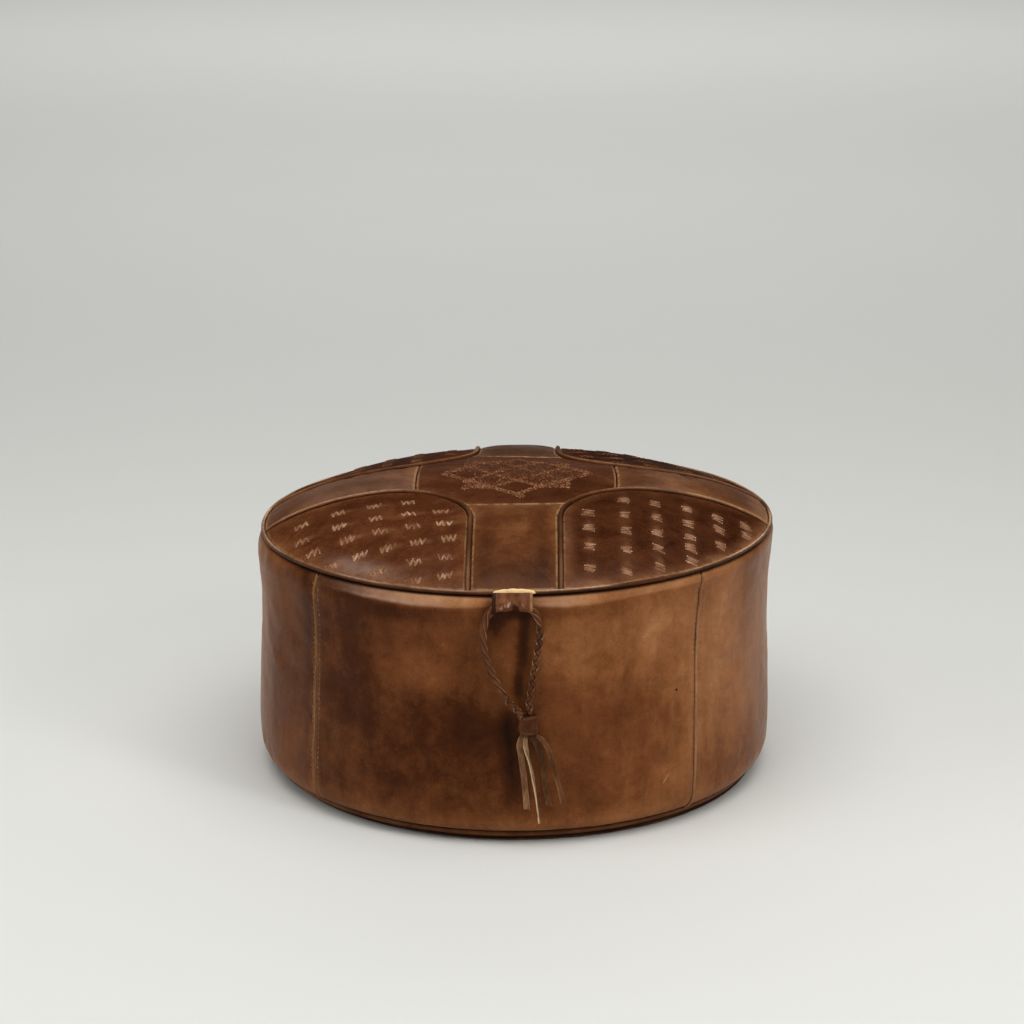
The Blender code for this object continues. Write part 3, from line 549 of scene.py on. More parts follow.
def build_stage():
    t = Tree("floor_paint", Specular_IOR_Level=0.18)
    n = t.noise(2.2, 3.0, 0.5)
    fine = t.noise(160.0, 3.0, 0.6)
    t.set(Base_Color=t.ramp(t.add(t.mul(n, 0.6), t.mul(fine, 0.4)), [(0.0, (0.735, 0.735, 0.705)), (1.0, (0.765, 0.765, 0.735))]),
          Roughness=t.step(fine, 0.3, 0.7, 0.62, 0.72), Normal=t.bump(fine, 0.03, 0.0005))
    rings, seg = [0.0, 0.4, 0.8, 1.6, 3.2, 6.4, 12.8, 25.0], 96
    v = [(0, 0, 0)] + [(r * math.cos(TAU * j / seg), r * math.sin(TAU * j / seg), 0) for r in rings[1:] for j in range(seg)]
    f = [(0, 1 + j, 1 + (j + 1) % seg) for j in range(seg)]
    for i in range(len(rings) - 2):
        a, b = 1 + i * seg, 1 + (i + 1) * seg
        f += [(a + j, b + j, b + (j + 1) % seg, a + (j + 1) % seg) for j in range(seg)]
    floor = make("studio_floor", v, f, t.mat)
    floor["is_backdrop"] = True
    w = bpy.data.worlds.new("studio")
    scene.world = w
    w.use_nodes = True
    bg = w.node_tree.nodes["Background"]
    bg.inputs[0].default_value = (1.0, 1.0, 0.98, 1)
    bg.inputs[1].default_value = 0.20
    w.cycles_visibility.glossy = False
    area("key", (1.75, -1.65, 1.80), (0, 0, 0.16), (0.55, 0.55), 15.0, (1.0, 0.985, 0.965))
    area("fill", (-2.3, -0.9, 1.5), (0, 0, 0.15), (1.6, 1.4), 14.0, (0.98, 0.99, 1.0))
    area("over", (0.1, -0.9, 2.6), (0, -0.35, 0.0), (3.0, 2.2), 58, (1.0, 1.0, 0.99))
    # three washes keep the floor behind the pouf from falling dark
    for name, y, size, power in (("wash_near", 3.4, (5, 2.0), 44), ("wash_mid", 7.5, (8, 4.0), 112), ("wash_far", 12.0, (12, 4.0), 116)):
        area(name, (0, y, 2.8 if y < 4 else 3.0), (0, y, 0), size, power).visible_glossy = False
    scene.view_settings.view_transform = "Standard"
    scene.view_settings.look = "None"
    scene.view_settings.exposure = 0.0


build_stage()
PIECES = {}


def keep(ob, body, nodes=()):
    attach(ob, body)
    if nodes:
        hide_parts(*nodes)
    PIECES[ob.name] = ob
    return ob


# ------------------------------------------------------------------ hanging loop
ROUTE_MM = [(7.1, 137.0), (3.8, 142.0), (-2.1, 147.6), (-10.6, 158.2), (-18.1, 171.5),
            (-23.8, 185.2), (-27.7, 198.5), (-29.4, 212.0), (-28.7, 224.0), (-25.4, 234.8),
            (-19.2, 242.9), (-10.5, 247.2), (-1.5, 248.4), (7.5, 247.2), (15.5, 243.0),
            (21.3, 235.6), (24.2, 226.0), (24.0, 214.0), (21.9, 200.5), (19.5, 186.0),
            (17.1, 171.5), (15.3, 158.2), (14.1, 147.0), (14.4, 137.0)]


def braid_points():
    pts = []
    for i, (x, z) in enumerate(ROUTE_MM):
        near = float(smooth((172.0 - z) / 28.0))
        side = -1 if i < len(ROUTE_MM) / 2 else 1
        pts.append((x / 1000, HANG_Y + side * 0.0026 * near, z / 1000))
    return catmull(pts, 8)


def build_braid():
    """Four flat laces plaited round: two run each way and pass over and under in turn."""
    fine = even(braid_points(), 0.0005)
    s = np.r_[0, np.cumsum(np.linalg.norm(np.diff(fine, axis=0), axis=1))]
    u = s / s[-1]
    t, n, b = frames(fine, (0, -1, 0))
    turn = np.radians(90 - 45 * smooth((u - 0.38) / 0.2))
    pitch = 0.0208
    k = TAU / pitch
    verts, faces, edge, pat, painted_shade, soft = [], [], [], [], [], []
    base = 0
    sides = 16
    a = np.arange(sides) / sides * TAU
    ca, sa = np.cos(a), np.sin(a)
    wide = np.sign(ca) * np.abs(ca) ** 0.55
    high = np.sign(sa) * np.abs(sa) ** 0.75
    wob = vnoise(fine, 120, 5)
    rope = smooth((u - 0.07) / 0.07) * (1 - smooth((u - 0.63) / 0.10))
    # down the left leg and over the top the four laces lie side by side in one long twist
    k_rope = TAU / 0.0470
    runs = {}
    for way in (1, -1):
        rate = way * k * (1 - rope) - k_rope * rope
        runs[way] = np.r_[0, np.cumsum(0.5 * (rate[1:] + rate[:-1]) * np.diff(s))]
    wrap = lambda x: (x + math.pi / 2) % math.pi - math.pi / 2
    mid, late = int(0.385 * len(s)), int(0.90 * len(s))
    for at, want, start, span in ((mid, math.pi / 2, 0.07, 0.07), (late, 2 * k * s[late], 0.63, 0.10)):
        miss = wrap(want - (runs[1][at] - runs[-1][at]))
        ease = smooth((u - start) / span)
        runs[1] = runs[1] + 0.5 * miss * ease
        runs[-1] = runs[-1] - 0.5 * miss * ease
    for way, phase in ((1, 0.0), (1, math.pi), (-1, 0.0), (-1, math.pi)):
        th = runs[way] + phase + turn
        over = way * np.cos(2 * k * s) * (1 - rope)
        rad = 0.00230 + 0.00080 * over + 0.00034 * rope + 0.00010 * wob
        line = fine + rad[:, None] * (np.cos(th)[:, None] * n + np.sin(th)[:, None] * b)
        out = np.cos(th)[:, None] * n + np.sin(th)[:, None] * b
        tt = unit(np.gradient(line, axis=0))
        out = unit(out - tt * (out * tt).sum(1, keepdims=True))
        side = np.cross(tt, out)
        hw = (0.00252 - 0.00012 * rope) * (1 + 0.06 * vnoise(line, 160, 17 + base % 7))
        lie = np.where(rope > 0.5, -1.0, way)
        ed = lie[:, None] * wide[None, :]
        ring = (line[:, None, :] + hw[:, None, None] * wide[None, :, None] * side[:, None, :]
                + 0.00086 * high[None, :, None] * out[:, None, :])
        # laces are cupped: their edges bend round the core
        ring -= (0.00062 * (wide ** 2)[None, :, None]) * out[:, None, :]
        # in the twist one edge of each lace rides up on the next
        ring += (0.00048 * rope[:, None] * ed)[..., None] * out[:, None, :]
        verts.append(ring.reshape(-1, 3))
        faces.append(quads(len(fine), sides, False, True, base))
        faces += [tuple(base + i for i in range(sides))[::-1],
                  tuple(base + (len(fine) - 1) * sides + i for i in range(sides))]
        edge.append(ed.reshape(-1))
        # painted shade where a lace passes under another, along the lace edges and where it tucks into the twist
        under = 0.5 - 0.5 * over
        deep = np.clip((np.abs(ed) - 0.55) / 0.3, 0, 1) * (ed < 0.88)
        tuck = np.clip((-ed - 0.20) / 0.6, 0, 1)
        groove_shade = np.clip((under - 0.50) * 1.1, 0, 0.55)[:, None] + 0.75 * deep * (1 - rope)[:, None] + 0.70 * tuck * rope[:, None]
        painted_shade.append(np.clip(groove_shade, 0, 0.85).reshape(-1))
        pat.append(np.repeat(0.08 * vnoise(line, 45, 23) + 0.05 * rope, sides))
        soft.append(np.repeat(1 - 0.35 * rope, sides))
        base += len(fine) * sides
    edge = np.concatenate(edge)
    wear_and_highlight = (np.clip((edge - 0.86) / 0.1, 0, 1) * 0.9 + np.clip((-edge - 0.93) / 0.07, 0, 1) * 0.3) * np.concatenate(soft)
    ob = make("loop_braid", np.concatenate(verts), faces, M["braid"],
              {"pat": np.concatenate(pat), "wear_and_highlight": np.clip(wear_and_highlight * (0.75 + 0.45 * vnoise(np.concatenate(verts), 160, 9)), 0, 1),
               "painted_shade": np.concatenate(painted_shade), "edge": np.full(len(edge), 40.0)})
    return outward(ob)


def build_knot():
    """A strap wound about one and three quarter turns round the gathered legs, its end lapped on the front."""
    steps, rows, thick = 150, 15, 0.0013
    u = np.linspace(0, 1, steps)
    ang = np.radians(-205 + 640 * u)
    v = np.linspace(0, 1, rows)
    verts, edge = [], []
    for side in (1, -1):
        for i in range(steps):
            grow = 0.00155 * u[i]
            a = ang[i]
            for j in range(rows):
                belly = 1.0 - 0.16 * abs(2 * v[j] - 1) ** 2.4
                z = KNOT_BOTTOM + (KNOT_TOP - KNOT_BOTTOM) * v[j]
                z += 0.0011 * math.sin(a + 0.6) * (0.4 + v[j]) * (1 if v[j] > 0.5 else 0.4) - 0.0006 * math.cos(2 * a + 0.5) * (v[j] - 0.3)
                rx = (KNOT_W / 2 - 0.0018) * belly + grow * 0.9
                ry = (KNOT_D / 2 - 0.0018) * belly + grow * 0.9
                w = 0.00030 * math.sin(5 * a + 4 * v[j]) + 0.00034 * math.sin(2.1 * a - 8 * v[j])
                off = w + (thick / 2 if side > 0 else -thick / 2)
                verts.append((KNOT_X + (rx + off) * math.sin(a), KNOT_Y - (ry + off) * math.cos(a), z))
                d = min(v[j], 1 - v[j]) * (KNOT_TOP - KNOT_BOTTOM) * 1000
                d = min(d, (1 - u[i]) * 120.0)
                edge.append(d)
    n = steps * rows
    faces = [quads(steps, rows, base=0), quads(steps, rows, base=n, flip=True)]
    rim = ([i * rows for i in range(steps)] + [(steps - 1) * rows + j for j in range(1, rows)]
           + [i * rows + rows - 1 for i in range(steps - 2, -1, -1)] + [j for j in range(rows - 2, 0, -1)])
    faces += [(rim[i], rim[(i + 1) % len(rim)], n + rim[(i + 1) % len(rim)], n + rim[i]) for i in range(len(rim))]
    # core of gathered lace ends, seen only at the two mouths
    base = 2 * n
    rings = [(0.02, 0.55), (0.06, 0.78), (0.30, 0.80), (0.70, 0.80), (0.94, 0.78), (0.985, 0.50)]
    seg = 20
    for h, q in rings:
        for j in range(seg):
            a = TAU * j / seg
            q2 = q * (1 + 0.06 * math.sin(4 * a + 1))
            verts.append((KNOT_X + (KNOT_W / 2 - 0.0022) * q2 * math.sin(a), KNOT_Y - (KNOT_D / 2 - 0.0022) * q2 * math.cos(a),
                          KNOT_BOTTOM + (KNOT_TOP - KNOT_BOTTOM) * h))
            edge.append(0.35)
    faces.append(quads(len(rings), seg, False, True, base))
    faces += [tuple(base + j for j in range(seg))[::-1], tuple(base + (len(rings) - 1) * seg + j for j in range(seg))]
    p = np.array(verts)
    ob = make("loop_knot", p, faces, M["knot"], {"edge": edge, "pat": 0.10 * vnoise(p, 130, 3)})
    return outward(ob)


STRIPS = {
    "a": ([(7.6, -270.6, 117.6), (5.2, -271.2, 109.6), (7.4, -271.8, 90.3), (9.6, -271.7, 72.4),
           (12.2, -271.6, 41.9)], 5.6, (1, 0.15), "tan", "leather_strip_tan", 0.02),
    "b": ([(11.2, -270.6, 117.6), (10.6, -272.0, 108.5), (12.9, -272.9, 96.5), (16.2, -273.0, 82.0),
           (19.9, -272.8, 59.9), (23.9, -272.6, 27.9)], 4.6, (0.16, 1), "cream", "leather_raw", 0.0),
    "c": ([(15.0, -270.6, 117.6), (21.0, -270.0, 108.8), (26.0, -269.4, 93.1), (28.6, -269.2, 76.5),
           (29.8, -269.0, 62.7), (33.4, -269.0, 44.6)], 5.4, (1, 0.2), "dark", "leather_strip_dark", -0.10),
    "d": ([(18.8, -270.6, 117.6), (26.4, -272.4, 113.4), (32.6, -273.2, 102.6), (37.4, -273.1, 86.2),
           (42.0, -273.0, 68.2), (46.5, -272.9, 48.8)], 4.4, (1, 0.6), "dark", "leather_strip_dark", 0.02),
}


def build_strip(key):
    """A cut leather strip with pale cut edges, cupped and slightly wavy."""
    mm, width, facing, finish, slot, tint = STRIPS[key]
    top = [(mm[0][0], mm[0][1], mm[0][2] + 3.2)]
    line = even(catmull(np.array(top + list(mm)) / 1000, 14), 0.0011)
    n = len(line)
    s = np.r_[0, np.cumsum(np.linalg.norm(np.diff(line, axis=0), axis=1))]
    t = unit(np.gradient(line, axis=0))
    t[0] = (0, 0, -1)
    turn = smooth((s - 0.0032) / 0.030)[:, None]
    flat = np.array((1, 0.05, 0)) + (np.array((facing[0], facing[1], 0)) - np.array((1, 0.05, 0))) * turn
    sway = 0.22 * np.sin(s * 95 + ord(key)) * smooth((s - 0.02) / 0.03)
    flat = unit(flat - t * (flat * t).sum(1, keepdims=True))
    thick = np.cross(t, flat)
    c, sn = np.cos(sway)[:, None], np.sin(sway)[:, None]
    flat, thick = flat * c + thick * sn, thick * c - flat * sn
    grow = 0.50 + 0.50 * smooth((s - 0.001) / 0.014)
    grow *= 1 + 0.05 * vnoise(line, 190, ord(key))
    hw, ht = width / 2000 * grow, 0.00064
    across = np.linspace(-1, 1, 9)
    cup = 0.00035 * (across ** 2 - 0.4)
    outer = line[:, None, :] + hw[:, None, None] * across[None, :, None] * flat[:, None, :]
    fray = 0.00018 * vnoise(outer.reshape(-1, 3), 700, 4).reshape(n, 9) * (np.abs(across) > 0.9)
    outer = outer + fray[..., None] * flat[:, None, :]
    slack = smooth((s - 0.02) / 0.02)[:, None]
    lift = cup[None, :] * slack + 0.00012 * vnoise(outer.reshape(-1, 3), 260, 8).reshape(n, 9)
    # the foot is cut at a slant
    foot = smooth((s - (s[-1] - 0.006)) / 0.006)[:, None] * across[None, :] * 0.0012
    outer = outer + foot[..., None] * t[:, None, :]
    up = outer + (lift + ht)[..., None] * thick[:, None, :]
    dn = outer + (lift - ht)[..., None] * thick[:, None, :]
    ring = np.concatenate([up, dn[:, ::-1]], 1)
    m = ring.shape[1]
    faces = [quads(n, m, False, True), tuple(range(m))[::-1], tuple((n - 1) * m + i for i in range(m))]
    edgey = np.concatenate([np.abs(across), np.abs(across[::-1])])
    pat = np.tile(np.where(edgey > 0.95, 0.42, 0.0), n) + 0.10 * vnoise(ring.reshape(-1, 3), 90, 6) + tint
    pat[: 6 * m] -= 0.25
    ob = make("tassel_lace_" + key, ring.reshape(-1, 3), faces, M[finish], {"pat": pat})
    outward(ob)
    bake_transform(ob)
    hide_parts("tassel_strip_" + key)
    return ob


def arch_z():
    """Height of the braid's middle under the sleeve, by x."""
    p = catmull([(x / 1000, HANG_Y, z / 1000) for x, z in ROUTE_MM[8:17]], 24)
    return p[:, 0], p[:, 2]


def build_sleeve():
    """Strap folded over the braid and sewn into the rim: gathered at the middle, with cut ends."""
    ax, az = arch_z()
    order = np.argsort(ax)
    ax, az = ax[order], az[order]
    ns, n = 57, 72
    xs = np.r_[-TAB_HALF - np.array((0.0034, 0.0022, 0.0010, 0.0002)), np.linspace(-TAB_HALF, TAB_HALF, ns)]
    ns = len(xs)
    j = np.arange(n) / n * TAU
    dy, dz = np.sin(j), -np.cos(j)
    low, front = np.clip(-dz, 0, 1), np.clip(-dy, 0, 1)
    a = np.arctan2(dz, -dy)
    outer, inner, edge, pat, wear_and_highlight, painted_shade = [], [], [], [], [], []
    for x in xs:
        z = float(np.interp(x, ax, az))
        q = x / TAB_HALF
        ri = BRAID_D / 2 + 0.0005
        ro = ri + TAB_T
        # the hanging edge runs almost level, with one fold drawn up at the middle
        foot = 0.2406 - 0.0016 * q * q + 0.0004 * math.sin(x * 420 + 0.8)
        past = max(0.0, -x - TAB_HALF)
        if past:
            # the under strap shows past the cut end
            ro -= 0.0009
            foot += 0.0020 + 0.7 * past
        notch = math.exp(-((x - 0.0008) / 0.0025) ** 2)
        ro_low = max(z - foot, ri + 0.0004)
        sk = np.stack([np.full(n, x), HANG_Y + ro * dy, z + np.where(dz < 0, ro_low, ro) * dz], 1)
        hi = (HINGE_Y * dy + HINGE_Z * dz + HINGE_R > HANG_Y * dy + z * dz + ro) & (dz > 0)
        sk[hi] = np.stack([np.full(hi.sum(), x), HINGE_Y + HINGE_R * dy[hi], HINGE_Z + HINGE_R * dz[hi]], 1)
        # folds that spread from the drawn-up middle
        fan = (x - 0.0008) / 0.0042 - 0.55 * a
        crease = 0.00090 * np.sin(3.6 * fan + 0.5) * np.exp(-(fan / 2.6) ** 2) + 0.00010 * np.sin(x * 1900 + 2.6 * a)
        move = crease * (0.25 + front) * ~hi - 0.0054 * notch * low ** 1.2 - 0.0016 * notch * front * np.exp(-((a + 0.7) / 0.5) ** 2)
        sk[:, 1] += move * dy
        sk[:, 2] += move * dz
        outer.append(sk)
        inner.append(np.stack([np.full(n, x), HANG_Y + ri * dy, z + np.where(dz < 0, min(ri, ro_low - 0.0003) - 0.0036 * notch * 0, ri) * dz], 1))
        d_end = (TAB_HALF - abs(x)) * 1000
        edge.append(np.full(n, max(0.9, d_end) if x > 0 else 6.0))
        pat.append(0.04 * np.sin(x * 700 + 3 * a) - 0.16 * notch * low + 0.06)
        wear_and_highlight.append(front * (0.75 * math.exp(-((x + 0.0062) / 0.0036) ** 2) * np.exp(-((a - 0.05 - 60 * (x + 0.006)) / 0.35) ** 2)
                            + 0.60 * math.exp(-((x - 0.0062) / 0.0024) ** 2) * np.exp(-((a - 0.35) / 0.45) ** 2)
                            + 0.45 * math.exp(-((x + 0.0125) / 0.0030) ** 2) * np.exp(-((a + 0.25) / 0.30) ** 2)))
        # painted shade under the drawn-up middle, where the tone is also darker, and on the under strap past the cut
        # end; the inside gets painted shade too
        painted_shade.append(0.80 * notch * np.clip(low * 1.3 + front * np.exp(-((a + 0.6) / 0.5) ** 2), 0, 1)
                    + 0.45 * smooth((-x - TAB_HALF + 0.0010) / 0.0010) + (0.40 if past else 0.0))
    outer, inner = np.array(outer), np.array(inner)
    scuff = np.clip(0.45 + 1.5 * vnoise(outer.reshape(-1, 3) * (1.5, 1, 1), 420, 77), 0, 1.4).reshape(ns, n)
    wear_and_highlight = list(np.array(wear_and_highlight) * scuff * 1.15)
    v = np.concatenate([outer.reshape(-1, 3), inner.reshape(-1, 3)])
    m = ns * n
    faces = [quads(ns, n, False, True), quads(ns, n, False, True, m, True)]
    for s in (0, ns - 1):
        for i in range(n):
            k = (i + 1) % n
            faces.append((s * n + i, s * n + k, m + s * n + k, m + s * n + i))
    full = lambda a, z=0.0: np.concatenate([np.concatenate(a), np.full(m, z)])
    ob = make("loop_sleeve", v, faces, M["knot_light"],
              {"edge": full(edge, 6.0), "pat": full(pat, -0.2), "wear_and_highlight": np.clip(full(wear_and_highlight), 0, 1), "painted_shade": np.clip(full(painted_shade, 0.4), 0, 0.9)})
    return outward(ob)


M["knot_light"] = leather("leather_sleeve", RED_BROWN, 0.56, 0.12, 0.20, 0.0, 0.08, 0.0, 0.55, (0.24, 0.44), 0.8, 45.0, (1.6, 0.7, 0.1), painted_shade=0.0, shine=0.10, worn_and_lit=(0.60, 0.43, 0.31))


def build_handle():
    braid = build_braid()
    keep(braid, "handle", ["handle_braid"])
    knot = keep(build_knot(), "handle", ["handle_knot"])
    sleeve = keep(build_sleeve(), "handle", ["handle_sleeve"])
    laces = [build_strip(k) for k in "abcd"]


build_handle()


# ------------------------------------------------------------------ top of the cover
def dome(x, y):
    """Rounded shoulders, an almost level middle, and a slack rear half."""
    q = np.minimum(np.hypot(x, y) / DOME_EDGE, 1.0)
    tilt = 0.0036 * np.exp(-((x + 0.085) / 0.080) ** 2 - ((y - 0.09) / 0.10) ** 2) - 0.0026 * np.exp(-((x - 0.180) / 0.06) ** 2 - ((y - 0.09) / 0.10) ** 2)
    return DOME_BASE + 0.0424 * (1 - q ** 4) + (tilt - 0.0072 * smooth((y - 0.012) / 0.12)) * (1 - q ** 6)


def arc(cx, cy, r, a0, a1, n=64):
    a = np.linspace(a0, a1, n)
    return np.stack([cx + r * np.cos(a), cy + r * np.sin(a)], 1)


def joined(runs, step):
    out = []
    for r in runs:
        out.append(even(r, step)[:-1])
    return np.concatenate(out)


def petal_runs(off):
    d, r = SPOKE_HALF + off, PETAL_CORNER - off
    far = math.sqrt(DOME_EDGE ** 2 - d ** 2)
    return [np.array([(d, -far), (d, -CORNER_C)]), arc(CORNER_C, -CORNER_C, r, math.pi, math.pi / 2),
            np.array([(CORNER_C, -d), (far, -d)]),
            arc(0, 0, DOME_EDGE, math.atan2(-d, far), math.atan2(-far, d))]


def spoke_runs(off, seam):
    w, r = SPOKE_HALF - off, PETAL_CORNER + off
    far = math.sqrt(DOME_EDGE ** 2 - w ** 2)
    top = math.pi - math.asin((CORNER_C - CENTRE_HALF - seam) / r)
    right = np.concatenate([[(w, -far)], arc(CORNER_C, -CORNER_C, r, math.pi, top, 24)])
    left = right[::-1] * (-1, 1)
    sag = np.linspace(-1, 1, 15)
    a, b = right[-1], left[0]
    across = a + (b - a) * (sag[:, None] + 1) / 2
    across[:, 1] -= 0.0016 * (1 - sag ** 2)
    return [right, across, left, arc(0, 0, DOME_EDGE, math.atan2(-far, -w), math.atan2(-far, w), 40)]


def centre_runs(off, seam):
    r, inner = PETAL_CORNER + off, CENTRE_HALF - seam
    low = math.pi - math.asin((CORNER_C - inner) / r)
    high = math.pi / 2 + math.asin((CORNER_C - inner) / r)
    runs = []
    for k in range(4):
        a = arc(CORNER_C, -CORNER_C, r, low, high, 24)
        nxt = rot90(a[:1], 1)[0]
        sag = np.linspace(-1, 1, 15)
        line = a[-1] + (nxt - a[-1]) * (sag[:, None] + 1) / 2
        line[:, 0] += 0.0016 * (1 - sag ** 2)
        runs += [rot90(a, k), rot90(line, k)]
    return runs


def to_outline(p, outline):
    """Distance from points to a closed outline."""
    a, b = outline, np.roll(outline, -1, 0)
    ab = b - a
    L = (ab ** 2).sum(1)
    best = np.full(len(p), 9.0)
    for i in range(0, len(p), 4000):
        q = p[i:i + 4000]
        t = np.clip(((q[:, None] - a[None]) * ab[None]).sum(-1) / L[None], 0, 1)
        d = q[:, None] - a[None] - t[..., None] * ab[None]
        best[i:i + 4000] = np.sqrt((d ** 2).sum(-1)).min(1)
    return best


def drape(name, verts, faces, pins, pressure, slack, cap, steps=14):
    """Lets a sewn panel swell on its filling: a pressed cloth held at its seams."""
    me = bpy.data.meshes.new(name)
    me.from_pydata(verts.tolist(), [], [f for a in faces for f in (a.tolist() if isinstance(a, np.ndarray) else [a])])
    ob = bpy.data.objects.new(name, me)
    scene.collection.objects.link(ob)
    g = ob.vertex_groups.new(name="held")
    g.add([int(i) for i in pins], 1.0, "REPLACE")
    mod = ob.modifiers.new("cloth", "CLOTH")
    s = mod.settings
    s.quality = 6
    s.mass = 0.5
    s.air_damping = 3.0
    s.tension_stiffness = s.compression_stiffness = 30
    s.shear_stiffness = 18
    s.bending_stiffness = 4.0
    s.vertex_group_mass = "held"
    s.use_pressure = True
    s.uniform_pressure_force = pressure
    s.shrink_min = s.shrink_max = -slack
    s.effector_weights.gravity = 0.0
    mod.collision_settings.use_collision = False
    mod.point_cache.frame_start, mod.point_cache.frame_end = 1, steps
    for fr in range(1, steps + 1):
        scene.frame_set(fr)
    dg = bpy.context.evaluated_depsgraph_get()
    ev = ob.evaluated_get(dg)
    out = np.empty(len(verts) * 3, np.float32)
    ev.data.vertices.foreach_get("co", out)
    out = out.reshape(-1, 3).astype(float)
    bpy.data.objects.remove(ob)
    bpy.data.meshes.remove(me)
    scene.frame_set(1)
    d = out - verts
    L = np.linalg.norm(d, axis=1, keepdims=True)
    d = d * np.minimum(1.0, cap / np.maximum(L, 1e-9))
    return verts + d


EDGE_MM = [0, 0.6, 1.25, 2.0, 2.9, 4.2, 6.0, 8.4, 11.4, 15.0, 19.5, 25.0]
TOP_TREES = {}


SHADE = {"cover_petal_rear_right": -0.20, "cover_petal_rear_left": -0.13, "cover_petal_front_right": -0.12, "cover_strip_right": -0.04,
         "cover_strip_rear": -0.12}


